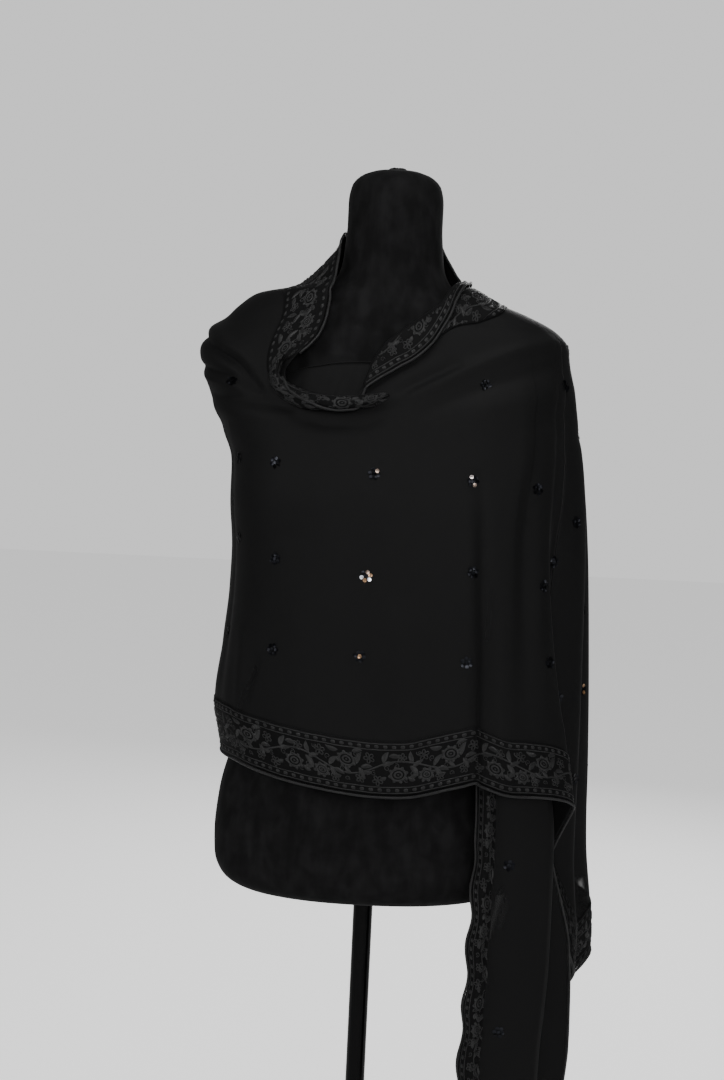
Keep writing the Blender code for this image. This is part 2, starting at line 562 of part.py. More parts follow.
def build_tail():
    """The first end of the stole: a flat strip at the shoulder that folds up as it falls."""
    places = np.array(list(TAIL_FOLDS.values()))
    lines = np.arange(len(places))
    across = np.array([i + k / n for i, n in enumerate(TAIL_CELLS) for k in range(n)] + [lines[-1]])
    share = across / across[-1]
    sides = np.array(TAIL_SHOULDER)
    levels = []
    for step in np.linspace(0, 1, TAIL_SHOULDER_ROWS):
        left, right = sides[0] + (sides[1] - sides[0]) * step
        azimuth, z = left[:, None] + (right - left)[:, None] * share
        levels.append(FORM.point(FORM.at_height(z), np.radians(azimuth), TAIL_SHOULDER_OFF))
    for k, z in enumerate(TAIL_LEVELS):
        x = smooth(across, lines, places[:, k, 0])
        y = smooth(across, lines, places[:, k, 1])
        levels.append(np.stack([x, y, np.full(len(across), z)], axis=1))
    known = np.stack(levels)
    order = np.arange(len(known))
    steps = [i + k / n for i, n in enumerate(TAIL_ROWS_BETWEEN) for k in range(n)]
    end_share = BORDER_WIDTH / (TAIL_LEVELS[-2] - TAIL_LEVELS[-1])
    down = np.array(steps + [order[-1] - end_share, order[-1] - end_share / 2, order[-1]])
    points = np.stack([[smooth(down, order, known[:, j, k]) for k in range(3)]
                       for j in range(len(across))]).transpose(2, 0, 1)
    normals = unit(np.cross(np.gradient(points, axis=0), np.gradient(points, axis=1)))
    half = CLOTH / 2
    wall("stole_tail", points, normals, -half, half, "cloth")
    border_band("tail_left_border", points[:-2, :3], normals[:-2, :3])
    border_band("tail_right_border", points[:-2, -4:], -normals[:-2, -4:])
    below = points[-3:].copy()
    below[0] += unit(below[1] - below[0]) * SEAM
    border_band("tail_end_border", below, normals[-3:])
    off = half + GAP / 2
    cord("tail_left_piping", beside(points[:, 0], points[:, 1], normals[:, 0], off))
    cord("tail_right_piping", beside(points[:, -1], points[:, -2], -normals[:, -1], off))
    cord("tail_end_piping", beside(points[-1], points[-2], normals[-1], off))


def build_roll():
    """The crumpled border that lies as a twisted roll along the bottom of the cowl."""
    at = np.linspace(0, len(ROLL_PATH) - 1, ROLL_STEPS)
    rows = np.arange(len(ROLL_PATH))
    azimuth, z, radius = (smooth(at, rows, ROLL_PATH[:, k]) for k in range(3))
    middle = WRAP.point(WRAP.at_height(z), np.radians(azimuth), ROLL_OUT)
    along = unit(np.gradient(middle, axis=0))
    out = unit(middle * (1, 1, 0))
    out = unit(out - along * (out * along).sum(axis=1, keepdims=True))
    up = np.cross(along, out)
    turns = np.arange(ROLL_SIDES) * 2 * math.pi / ROLL_SIDES
    twist = np.linspace(0, ROLL_TWIST, ROLL_STEPS)[:, None]
    size = radius[:, None] * (1 + ROLL_LOBE * np.cos(2 * turns + twist * 2))
    rings = (middle[:, None] + out[:, None] * (np.cos(turns) * size)[..., None] * 0.85
             + up[:, None] * (np.sin(turns) * size)[..., None])
    loft("cowl_roll", rings, "embroidery")


def build_chest_fold():
    """Cloth of the inner layer across the chest, with a soft folded top inside the cowl."""
    azimuth = np.linspace(CHEST_FOLD[0, 0], CHEST_FOLD[-1, 0], 19)
    top = smooth(azimuth, CHEST_FOLD[:, 0], CHEST_FOLD[:, 1])
    down = np.linspace(0, 1, 6)[:, None]
    z = top + (CHEST_FOLD_LOW - top) * down
    turn = np.radians(np.broadcast_to(azimuth, z.shape))
    points = FORM.point(FORM.at_height(z), turn, CHEST_FOLD_OFF)
    normals = grid_normals(points, points * (1, 1, 0))
    wall("chest_fold", points, normals, -CLOTH / 2, CLOTH / 2, "cloth")


def main():
    for thing in list(bpy.data.objects):
        bpy.data.objects.remove(thing, do_unlink=True)
    collection = bpy.data.collections.new(COLLECTION)
    bpy.context.scene.collection.children.link(collection)
    build_form()
    build_wrap()
    build_back()
    build_tail()
    build_roll()
    build_chest_fold()


main()
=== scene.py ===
# %% [markdown]
# # An evening stole on a velvet dress form
# A stole is one long, sheer cloth with an embroidered border and a corded edge. Here its first end
# hangs in front, the cloth runs behind the neck, over one shoulder and across the chest, and its
# second end is thrown over the other shoulder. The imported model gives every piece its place. This
# file keeps those places and gives the cloth its real thinness, creases, stitching and sheen.

import bpy
import mathutils
import numpy as np
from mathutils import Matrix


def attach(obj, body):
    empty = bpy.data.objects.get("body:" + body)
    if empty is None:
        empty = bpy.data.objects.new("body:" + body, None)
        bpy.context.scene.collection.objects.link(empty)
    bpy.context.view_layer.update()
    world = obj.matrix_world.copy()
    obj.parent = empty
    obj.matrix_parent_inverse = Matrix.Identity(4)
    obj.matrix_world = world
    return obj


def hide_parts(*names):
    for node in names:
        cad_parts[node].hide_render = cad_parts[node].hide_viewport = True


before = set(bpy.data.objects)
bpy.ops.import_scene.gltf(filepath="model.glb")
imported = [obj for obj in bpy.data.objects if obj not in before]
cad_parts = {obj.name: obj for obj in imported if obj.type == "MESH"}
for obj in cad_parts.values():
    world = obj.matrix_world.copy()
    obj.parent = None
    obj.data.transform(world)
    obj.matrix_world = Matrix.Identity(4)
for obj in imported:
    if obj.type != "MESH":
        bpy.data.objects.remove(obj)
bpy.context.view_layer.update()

# %% [markdown]
# Cloth over shoulders has no straight line in it. Every shape below is read from short tables of
# measurements, so the first tool is a smooth curve through knots. Cubics with harmonic mean slopes
# never swing past their knots, which keeps one layer of cloth from poking through the next.

# %% A smooth curve through knots
def curve(x, xs, ys):
    """Cubic pieces through (xs, ys). Each knot's slope is the harmonic mean of its two neighbours'
    slopes, or nothing where they differ in sign. xs and ys may have a column for each column of x."""
    x, xs, ys = (np.asarray(v, float) for v in (x, xs, ys))
    shape = x.shape
    if xs.ndim == 1:
        x, xs, ys = x.reshape(-1, 1), xs[:, None], ys[:, None]
    step = np.diff(xs, axis=0)
    slope = np.diff(ys, axis=0) / step
    before, after = slope[:-1], slope[1:]
    same = before * after > 0
    middle = np.where(same, 2 * before * after / np.where(same, before + after, 1.0), 0.0)
    tangent = np.concatenate([slope[:1], middle, slope[-1:]])
    x = np.clip(x, xs[0], xs[-1])
    piece = (x[None] >= xs[1:-1, None]).sum(axis=0)

    def at(values, shift=0):
        return np.take_along_axis(values, piece + shift, axis=0)

    run, rise = at(step), at(ys, 1) - at(ys)
    s = (x - at(xs)) / run
    bend = s * (1 - s) * ((1 - s) * (at(tangent) * run - rise) - s * (at(tangent, 1) * run - rise))
    return (at(ys) + rise * s + bend).reshape(shape)


def unit(v):
    return v / np.maximum(np.linalg.norm(v, axis=-1, keepdims=True), 1e-12)


def lengths_along(line):
    """Distance from the first point of a line, along axis 0."""
    steps = np.linalg.norm(np.diff(line, axis=0), axis=-1)
    return np.concatenate([np.zeros_like(steps[:1]), np.cumsum(steps, axis=0)])


def points_at(line, distance):
    """Points of one line at given distances along it."""
    run = lengths_along(line)
    return np.stack([np.interp(distance, run, line[:, k]) for k in range(3)], axis=-1)


print("curve helper ready, value halfway through three knots:", curve(np.array([1.0]), (0, 1, 2), (0, 3, 4)))

# %% [markdown]
# The dress form and the outermost cloth are both stacks of level sections. Each section is a
# superellipse, round at the neck and squarer at the chest, with its own depth in front and behind.
# The cloth also has its own half width at each side, because the folds on one shoulder stand out.

# %% Level sections of the form and of the cloth
FORM_SECTIONS = np.array([
    # z      half    front   back   power
    (1.5615, 0.0270, 0.0280, 0.0290, 2.0),
    (1.5570, 0.0380, 0.0390, 0.0400, 2.0),
    (1.5470, 0.0470, 0.0480, 0.0490, 2.0),
    (1.5300, 0.0500, 0.0515, 0.0530, 2.0),
    (1.5060, 0.0500, 0.0525, 0.0540, 2.0),
    (1.4850, 0.0515, 0.0535, 0.0560, 2.0),
    (1.4640, 0.0540, 0.0545, 0.0600, 2.0),
    (1.4450, 0.0635, 0.0560, 0.0680, 2.0),
    (1.4290, 0.0880, 0.0590, 0.0770, 2.1),
    (1.4120, 0.1300, 0.0630, 0.0860, 2.1),
    (1.3950, 0.1590, 0.0660, 0.0920, 2.2),
    (1.3720, 0.1780, 0.0720, 0.0970, 2.3),
    (1.3420, 0.1800, 0.0850, 0.1000, 2.4),
    (1.3000, 0.1690, 0.1010, 0.1010, 2.3),
    (1.2550, 0.1520, 0.1130, 0.0990, 2.2),
    (1.2100, 0.1450, 0.1170, 0.0960, 2.2),
    (1.1500, 0.1360, 0.1050, 0.0890, 2.2),
    (1.0900, 0.1250, 0.0880, 0.0830, 2.2),
    (1.0400, 0.1200, 0.0800, 0.0830, 2.2),
    (0.9900, 0.1330, 0.0850, 0.0950, 2.2),
    (0.9450, 0.1500, 0.0950, 0.1090, 2.3),
    (0.9000, 0.1610, 0.1030, 0.1180, 2.3),
    (0.8600, 0.1645, 0.1060, 0.1200, 2.4),
    (0.8340, 0.1635, 0.1050, 0.1190, 2.4),
    (0.8150, 0.1560, 0.0990, 0.1130, 2.4),
    (0.8030, 0.1390, 0.0840, 0.0970, 2.3),
    (0.7980, 0.1100, 0.0600, 0.0700, 2.2),
])
# height, half widths at the viewer's left and right, depths in front and behind, squareness
WRAP_SECTIONS = np.array([
    # z      left    right   front   back   power
    (1.5200, 0.0535, 0.0540, 0.0560, 0.0580, 2.0),
    (1.5060, 0.0528, 0.0545, 0.0565, 0.0590, 2.0),
    (1.4850, 0.0565, 0.0570, 0.0595, 0.0640, 2.0),
    (1.4650, 0.0710, 0.0650, 0.0625, 0.0760, 2.0),
    (1.4500, 0.0860, 0.0750, 0.0645, 0.0860, 2.0),
    (1.4400, 0.1000, 0.0940, 0.0665, 0.0920, 2.1),
    (1.4300, 0.1420, 0.1130, 0.0690, 0.0970, 2.1),
    (1.4180, 0.1590, 0.1450, 0.0720, 0.1010, 2.2),
    (1.4030, 0.1765, 0.1750, 0.0760, 0.1050, 2.2),
    (1.3880, 0.1905, 0.1885, 0.0820, 0.1080, 2.3),
    (1.3680, 0.1995, 0.1920, 0.0900, 0.1110, 2.4),
    (1.3420, 0.1925, 0.1985, 0.1010, 0.1130, 2.5),
    (1.3130, 0.1825, 0.2035, 0.1120, 0.1140, 2.6),
    (1.2900, 0.1732, 0.2080, 0.1190, 0.1130, 2.7),
    (1.2570, 0.1605, 0.2140, 0.1255, 0.1110, 2.8),
    (1.2140, 0.1590, 0.2195, 0.1300, 0.1080, 2.9),
    (1.1600, 0.1545, 0.2245, 0.1310, 0.1060, 2.9),
    (1.1200, 0.1555, 0.2272, 0.1310, 0.1070, 2.9),
    (1.0660, 0.1610, 0.2305, 0.1300, 0.1100, 2.9),
    (1.0070, 0.1675, 0.2340, 0.1290, 0.1180, 2.9),
    (0.9490, 0.1580, 0.2370, 0.1290, 0.1240, 2.9),
    (0.8550, 0.1590, 0.2420, 0.1280, 0.1300, 2.9),
    (0.7560, 0.1600, 0.2540, 0.1260, 0.1350, 2.9),
    (0.6800, 0.1600, 0.2560, 0.1250, 0.1380, 2.9),
])


def distances_down(table):
    """Distance down the side of stacked sections: root of (height step squared + mean width step squared)."""
    widths = table[:, 1:-3]
    return np.concatenate([[0], np.cumsum(np.hypot(np.diff(table[:, 0]), np.diff(widths.mean(axis=1))))])


def down_at(table, z):
    """Distance down the side at a height."""
    down = distances_down(table)
    samples = np.linspace(0, down[-1], 2000)
    return np.interp(-np.asarray(z, float), -curve(samples, down, table[:, 0]), samples)


def body_point(table, down, azimuth, push=0.0):
    """Point where (|sin a| / half width) ** p + (|cos a| / depth) ** p = 1 at azimuth a, pushed out level."""
    knots = distances_down(table)
    z, left, right, front, back, power = (curve(down, knots, table[:, k])
                                          for k in (0, 1, -4, -3, -2, -1))
    east, south = np.sin(azimuth), np.cos(azimuth)
    half = np.where(east < 0, left, right)
    depth = np.where(south > 0, front, back)
    radius = ((np.abs(east) / half) ** power + (np.abs(south) / depth) ** power) ** (-1 / power) + push
    return np.stack([radius * east, -radius * south, z * np.ones_like(radius)], axis=-1)


print("form sections:", len(FORM_SECTIONS), " cloth sections:", len(WRAP_SECTIONS))

# %% [markdown]
# Folds in hanging cloth run from the shoulder to the hem. So the cloth is described by lines that
# run down it. Each row of the table is one line: where it starts at the neck edge, where the border
# ends, where it passes half way down, where it meets the hem, and how far it is pushed in or out.

# %% Lines down the cloth
LINE_FIELDS = ("neck_az neck_z zone_az zone_z mid_az hem_az hem_z "
               "in_neck in_zone in_mid in_hem turn cells").split()
WRAP_LINES = {
    "left_seam": (-104, 1.4970, -106, 1.4520, -112, -112, 0.9530, 0, 0, 0, 0, 0.000, 2),
    "left_side": (-82, 1.4840, -86, 1.4430, -92, -88, 0.9500, 0, 0, 0, 0, 0.000, 2),
    "arm_fold": (-60, 1.4690, -71, 1.4340, -77, -72, 0.9530, 0, 0, 0, 1, 0.000, 2),
    "collar_top": (-49, 1.4400, -63, 1.4170, -68, -60, 0.9530, 0, 0, 0, 0, 0.000, 1),
    "collar_mid": (-44, 1.4200, -60, 1.3960, -62.5, -53, 0.9510, 0, 0, 0, 0, 0.000, 1),
    "collar_low": (-42.7, 1.3905, -57.6, 1.3680, -57, -47, 0.9480, 0, 0, 0, 0, 0.000, 1),
    "collar_foot": (-44.5, 1.3770, -56, 1.3540, -52, -42, 0.9455, 0, 0, 0, 0, 0.000, 1),
    "hook": (-47, 1.3670, -54, 1.3430, -47, -37, 0.9430, 0, 0, 0, 0, 0.000, 1),
    "roll_top": (-49, 1.3500, -51, 1.3320, -42, -32.5, 0.9410, 0, 0, 0, 0, 0.000, 1),
    "roll_left": (-46, 1.3340, -47.2, 1.3180, -37, -28, 0.9390, 0, 0, 0, 0, 0.000, 1),
    "roll_low": (-40.5, 1.3235, -41, 1.3050, -31.5, -22.5, 0.9370, 0, 0, 0, 0, 0.000, 1),
    "roll_mid": (-31, 1.3190, -31, 1.2990, -24.5, -15.5, 0.9345, 0, 0, 0, 0, 0.000, 1),
    "roll_right": (-21, 1.3190, -20, 1.2990, -16.5, -8, 0.9325, 0, 0, 0, 0, 0.000, 1),
    "lapel_foot": (-13, 1.3370, -10, 1.3170, -9.5, -1.5, 0.9312, 0, 0, 0, 0, 0.004, 1),
    "lapel_low": (-10, 1.3560, -2, 1.3300, -4.5, 4.5, 0.9308, 0, 0, 0, 0, 0.015, 1),
    "lapel_mid": (-3.5, 1.3760, 7, 1.3430, 2, 10.5, 0.9308, 0, 0, 0, 0, 0.026, 1),
    "lapel_wide": (7, 1.3900, 17, 1.3560, 9, 17.5, 0.9320, 0, 0, 0, 0, 0.030, 1),
    "lapel_high": (18, 1.4010, 27, 1.3690, 17, 24.5, 0.9365, 0, 0, 1, 2, 0.027, 1),
    "lapel_apex": (28, 1.4120, 35, 1.3840, 24, 30.5, 0.9420, 0, 0, 2, 4, 0.020, 1),
    "ridge": (37, 1.4220, 42, 1.3940, 30.5, 35.5, 0.9460, 0, 0, 2, 5, 0.013, 1),
    "ridge_side": (43, 1.4310, 49, 1.4010, 36.5, 39.5, 0.9490, 0, 0, 1, 3, 0.009, 1),
    "dip": (49, 1.4390, 55, 1.4070, 42, 43.5, 0.9440, 0, 0, -1, -4, 0.007, 1),
    "chest_side": (58, 1.4440, 62, 1.4130, 47.5, 49.5, 0.9360, 0, 0, -2, 2, 0.005, 2),
    "bust_side": (72, 1.4470, 71, 1.4210, 53, 57, 0.9335, 0, 0, -8, 0, 0.004, 1),
    "near_fold": (80, 1.4490, 77, 1.4250, 57, 63.5, 0.9290, 0, 0, -10, -2, 0.004, 2),
    "front_fold": (86, 1.4500, 82, 1.4260, 61, 69, 0.9200, 0, 0, -13, -4, 0.004, 2),
    "front_turn": (90, 1.4503, 85.5, 1.4265, 66.5, 76.7, 0.8280, 0, 0, -25, -47, 0.004, 2),
    "side_ridge": (92, 1.4500, 89, 1.4265, 77, 84.5, 0.7270, 0, 0, -9, -25, 0.004, 2),
    "side_valley": (93.5, 1.4496, 92, 1.4265, 84.5, 90, 0.7000, 0, 0, -16, -36, 0.004, 2),
    "outer_ridge": (95, 1.4492, 96, 1.4265, 93, 97, 0.7330, 0, 0, 0, 0, 0.004, 3),
    "back_valley": (97, 1.4488, 101, 1.4265, 107, 111, 0.7480, 0, 0, -6, -15, 0.004, 2),
    "back_ridge": (99, 1.4484, 107, 1.4260, 120, 123, 0.7620, 0, 0, 3, 6, 0.004, 2),
    "back_valley_2": (101.5, 1.4480, 112, 1.4260, 132, 134, 0.7560, 0, 0, -4, -13, 0.004, 2),
    "edge_line": (104, 1.4475, 117, 1.4260, 144, 146, 0.7680, 0, 0, 3, 6, 0.004, 2),
    "edge_valley": (107, 1.4470, 122, 1.4255, 154, 157, 0.7620, 0, 0, -2, -7, 0.004, 2),
    "inner_edge": (110, 1.4465, 127, 1.4255, 163, 168, 0.7700, 0, 0, 2, 2, 0.004, 0),
}
BACK_LINES = {
    "back_seam": (-104.4, 1.4970, -106.4, 1.4520, -112.3, -112.3, 0.9530, 0, 0, 0, 0, 0, 2),
    "rib_fold": (-128, 1.5020, -129, 1.4550, -130, -131, 0.9540, 0, 0, 2, 4, 0, 2),
    "rib_hollow": (-150, 1.5050, -150, 1.4565, -149, -149, 0.9590, 0, 0, -2, -6, 0, 2),
    "spine_fold": (-176, 1.5060, -174, 1.4570, -168, -166, 0.9700, 0, 0, 1, 2, 0, 2),
    "spine_hollow": (-200, 1.5050, -196, 1.4555, -186, -182, 0.9920, 0, -2, -6, -9, 0, 2),
    "blade_fold": (-222, 1.4990, -217, 1.4500, -204, -197, 1.0280, -1, -6, -8, -9, 0, 2),
    "blade_hollow": (-240, 1.4910, -234, 1.4430, -220, -211, 1.0800, -2.0, -8, -10, -11, 0, 2),
    "under_fold": (-251, 1.4800, -250, 1.4400, -236, -226, 1.1500, -2.6, -10, -10, -10, 0, 2),
    "shoulder_under": (-262, 1.4660, -261, 1.4430, -252, -244, 1.2400, -3.2, -11.5, -11, -10, 0, 2),
    "shoulder_end": (-271, 1.4510, -270, 1.4430, -268, -264, 1.3300, -3.8, -12, -11, -10, 0, 0),
}
BORDER_WIDTH = 0.055
CELLS_BETWEEN = 6
FINE_ROWS = 240


def drape(lines):
    """Fine lines of points down the cloth, with the length of the border at the neck edge of each."""
    table = {name: np.array([row[k] for row in lines.values()], float)
             for k, name in enumerate(LINE_FIELDS)}
    corner = np.concatenate([[0], np.cumsum(table["cells"][:-1])])
    columns = np.arange(int(corner[-1]) * CELLS_BETWEEN + 1) / CELLS_BETWEEN
    place = np.interp(columns, corner, np.arange(len(lines)))
    read = {name: curve(place, np.arange(len(lines)), table[name]) for name in LINE_FIELDS[:-1]}
    top, under, low = (down_at(WRAP_SECTIONS, read[name]) for name in ("neck_z", "zone_z", "hem_z"))
    stations = np.array([top, under, (under + low) / 2, low])
    azimuths = np.array([read[name] for name in ("neck_az", "zone_az", "mid_az", "hem_az")])
    pushes = np.array([read[name] for name in ("in_neck", "in_zone", "in_mid", "in_hem")]) / 1000
    down = top + (low - top) * np.linspace(0, 1, FINE_ROWS + 1)[:, None]
    fine = body_point(WRAP_SECTIONS, down, np.radians(curve(down, stations, azimuths)),
                      curve(down, stations, pushes))
    run = lengths_along(fine)
    zone = np.array([np.interp(u, d, r) for u, d, r in zip(under, down.T, run.T)])
    start = dict(zip(lines, (corner * CELLS_BETWEEN).astype(int)))
    return {"fine": fine, "run": run, "zone": zone, "turn": read["turn"], "column": start}


def rows_between(cloth, first, last, shares):
    """Grid of points at shares of the way from first to last along every line."""
    distance = first + (last - first) * np.asarray(shares)[:, None]
    columns = [points_at(cloth["fine"][:, j], distance[:, j]) for j in range(distance.shape[1])]
    return np.stack(columns, axis=1)


wrap = drape(WRAP_LINES)
back = drape(BACK_LINES)
print("lines down the wrap:", wrap["fine"].shape[1], " down the back:", back["fine"].shape[1])

# %% [markdown]
# Creases are soft troughs and ridges that the hand leaves when it pulls the cloth over a shoulder.
# Each is a short path over the surface. Its depth falls off on both sides like a bell, and fades
# at its ends, and no two share a length, a depth or a spacing.

# %% Creases
# name: (path of (azimuth, height) points), width in mm, depth in mm, where a ridge is below zero
WRAP_CREASES = {
    "shoulder_pull": (((-94, 1.389), (-84, 1.380), (-74, 1.3680), (-66, 1.3550), (-53, 1.3235)), 3.8, 5.0),
    "shoulder_pull_lip": (((-94, 1.398), (-80, 1.386), (-66, 1.367), (-58, 1.348)), 5.5, -2.8),
    "shoulder_second": (((-98, 1.359), (-84, 1.3500), (-72, 1.3435), (-63, 1.3385), (-55, 1.325)), 4.2, 3.6),
    "shoulder_second_lip": (((-92, 1.347), (-76, 1.338), (-62, 1.331)), 4.6, -1.8),
    "shoulder_top": (((-100, 1.414), (-88, 1.407), (-76, 1.396), (-68, 1.382)), 7.5, 1.8),
    "arm_band": (((-88, 1.325), (-74, 1.3195), (-56, 1.3165), (-38, 1.310)), 6.5, 2.8),
    "arm_band_lip": (((-84, 1.311), (-62, 1.306), (-42, 1.299)), 9.0, -1.8),
    "arm_low": (((-92, 1.298), (-80, 1.291), (-68, 1.290)), 8.0, 1.8),
    "under_roll": (((-42, 1.303), (-28, 1.296), (-12, 1.297), (2, 1.307), (12, 1.322)), 6.5, 2.4),
    "under_roll_low": (((-30, 1.282), (-14, 1.280), (0, 1.288)), 10.0, 1.2),
    "lapel_sag": (((4, 1.330), (14, 1.340), (26, 1.351), (40, 1.364)), 5.5, 2.6),
    "shoulder_ridge": (((6, 1.318), (16, 1.330), (28, 1.343), (46, 1.362), (62, 1.379), (80, 1.394)),
                       6.5, -3.4),
    "shoulder_ridge_low": (((16, 1.308), (32, 1.327), (52, 1.347), (78, 1.370)), 7.5, 2.6),
    "shoulder_second_ridge": (((34, 1.306), (50, 1.323), (66, 1.337), (84, 1.351)), 9.5, -1.9),
    "shoulder_soft": (((46, 1.290), (60, 1.306), (80, 1.322)), 10.0, 1.6),
    "upper_arm": (((66, 1.280), (76, 1.293), (92, 1.303)), 9.0, 1.4),
    "side_left_long": (((-74, 1.290), (-71, 1.200), (-69, 1.090), (-66, 0.985)), 9.0, 2.4),
    "side_left_short": (((-86, 1.255), (-83, 1.170), (-82, 1.060)), 8.0, -2.0),
    "side_left_low": (((-56, 1.090), (-53.5, 1.020), (-51, 0.960)), 8.0, -2.2),
    "side_left_tuck": (((-47, 1.062), (-50.5, 1.026), (-54, 0.985)), 4.5, 2.6),
    "front_left_soft": (((-36, 1.180), (-33, 1.080), (-30, 0.965)), 18.0, -1.6),
    "front_mid_soft": (((-12, 1.230), (-9, 1.110), (-6, 0.980)), 22.0, 1.4),
    "front_low_soft": (((8, 1.120), (12, 1.040), (17, 0.960)), 15.0, -1.6),
    "hem_dip_left": (((-44, 1.000), (-43, 0.972), (-42, 0.947)), 8.0, 1.6),
    "long_fold": (((38, 1.262), (39.5, 1.128), (41.8, 1.061), (43.5, 0.960)), 6.0, 3.2),
    "long_fold_lip": (((34, 1.230), (35.5, 1.090), (37.5, 0.975)), 8.0, -2.4),
    "bust_fall": (((52, 1.255), (52, 1.150), (53, 1.020)), 8.0, 1.8),
    "bust_lip": (((58, 1.225), (57.5, 1.120), (59, 0.985)), 9.0, -1.8),
    "side_crease": (((66, 1.210), (65, 1.110), (67, 1.000)), 6.0, 1.6),
    "side_fall": (((100, 1.330), (101, 1.150), (103, 0.930), (104, 0.800)), 7.0, 2.4),
    "side_fall_lip": (((96, 1.290), (95.5, 1.100), (96, 0.900)), 6.0, -1.6),
    "behind_fall": (((114, 1.360), (116, 1.180), (118, 0.960), (118, 0.830)), 8.0, 2.4),
    "behind_soft": (((126, 1.330), (127, 1.120), (129, 0.900)), 11.0, -2.0),
    "behind_edge": (((138, 1.300), (139, 1.100), (141, 0.860)), 7.0, 2.0),
    "throw_pull": (((100, 1.418), (112, 1.392), (121, 1.350), (126, 1.290)), 5.5, 2.6),
    "throw_pull_low": (((92, 1.404), (102, 1.376), (108, 1.330)), 6.5, 2.2),
    "throw_lip": (((96, 1.414), (108, 1.384), (114, 1.338)), 6.0, -2.0),
}
BACK_CREASES = {
    "nape_pull": (((-122, 1.470), (-142, 1.448), (-166, 1.438), (-190, 1.442)), 6.5, 2.4),
    "nape_lip": (((-126, 1.452), (-148, 1.430), (-172, 1.421)), 8.5, -2.0),
    "blade_pull": (((-112, 1.380), (-130, 1.348), (-152, 1.326), (-176, 1.322)), 8.0, 3.0),
    "blade_lip": (((-114, 1.352), (-134, 1.318), (-160, 1.298)), 10.0, -2.4),
    "cross_pull": (((-120, 1.255), (-140, 1.226), (-166, 1.216), (-196, 1.230)), 10.0, 2.6),
    "waist_cross": (((-126, 1.130), (-148, 1.106), (-176, 1.104)), 12.0, 2.0),
    "spine_fall": (((-158, 1.200), (-157, 1.100), (-157, 0.985)), 10.0, -2.0),
    "side_back_fall": (((-124, 1.210), (-124, 1.100), (-125, 0.980)), 8.0, 2.2),
    "edge_pull": (((-206, 1.410), (-200, 1.330), (-192, 1.220), (-184, 1.110)), 8.0, 2.4),
}


def creased(points, normals, creases):
    """Moves points in along their normals by depth * exp(-(distance from the path / width) ** 2),
    faded at both ends of the path by the root of sin(pi * share of its length)."""
    azimuth = np.degrees(np.arctan2(points[..., 0], -points[..., 1]))
    if min(spot[0] for path, *_ in creases.values() for spot in path) < -110:
        azimuth = np.where(azimuth > 172, azimuth - 360, azimuth)
    arc = np.radians(azimuth) * 0.15
    move = np.zeros(points.shape[:2])
    for path, width, depth in creases.values():
        spots = np.array(path) * (np.radians(1) * 0.15, 1)
        run = lengths_along(spots)
        nearest = np.full(points.shape[:2], 9.0)
        share = np.zeros(points.shape[:2])
        for k in range(len(spots) - 1):
            line = spots[k + 1] - spots[k]
            t = ((arc - spots[k, 0]) * line[0] + (points[..., 2] - spots[k, 1]) * line[1]) / (line @ line)
            t = np.clip(t, 0, 1)
            gap = np.hypot(arc - spots[k, 0] - t * line[0], points[..., 2] - spots[k, 1] - t * line[1])
            closer = gap < nearest
            share = np.where(closer, (run[k] + t * (run[k + 1] - run[k])) / run[-1], share)
            nearest = np.minimum(gap, nearest)
        fade = np.sqrt(np.sin(np.pi * np.clip(share, 0, 1)).clip(0))
        move += depth / 1000 * np.exp(-(nearest * 1000 / width) ** 2) * fade
    return points - normals * move[..., None]


def outward_normals(points, facing=None):
    """Unit normals of a grid, from the cross product of its two directions, turned to look outwards."""
    normals = unit(np.cross(np.gradient(points, axis=0), np.gradient(points, axis=1)))
    facing = points * (1, 1, 0) if facing is None else facing
    return normals if (normals * facing).sum() > 0 else -normals


print("creases on the wrap:", len(WRAP_CREASES), " on the back:", len(BACK_CREASES))

# %% [markdown]
# The cloth is made of the grids that these lines give. Each stretch is one thin sheet, cut at the
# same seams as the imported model. The whole wrap is creased first and cut afterwards, so that the
# creases run across the seam.

# %% Grids of the wrap and of the back
NECK_ROWS = 10
HEM_ROWS = 10
# Close rows over the shoulders, where the creases are sharp, and wider ones below
NECK_SHARES = np.linspace(0, 1, NECK_ROWS + 1)
BODY_SHARES = np.concatenate([np.linspace(0, 0.34, 64), np.linspace(0.34, 1, 62)[1:]])
HEM_SHARES = np.linspace(0, 1, HEM_ROWS + 1)


def cloth_grid(cloth, creases):
    """Rows in the neck border, down the body of the cloth and in the hem border, creased."""
    whole = cloth["run"][-1]
    parts = [rows_between(cloth, 0 * whole, cloth["zone"], NECK_SHARES),
             rows_between(cloth, cloth["zone"], whole - BORDER_WIDTH, BODY_SHARES)[1:],
             rows_between(cloth, whole - BORDER_WIDTH, whole, HEM_SHARES)[1:]]
    points = np.concatenate(parts)
    points = creased(points, outward_normals(points), creases)
    return points, outward_normals(points)


wrap_points, wrap_normals = cloth_grid(wrap, WRAP_CREASES)
back_points, back_normals = cloth_grid(back, BACK_CREASES)
SEAM = wrap["column"]["front_turn"]
print("wrap grid:", wrap_points.shape[:2], " back grid:", back_points.shape[:2])

# %% [markdown]
# The first end of the stole hangs as a narrow strip: a flat face, a fold at its right, and the
# bordered edge that shows again under the fold. Its table gives each fold line's place at nine
# heights, so it is drawn as a curve through those, on from the shoulder.

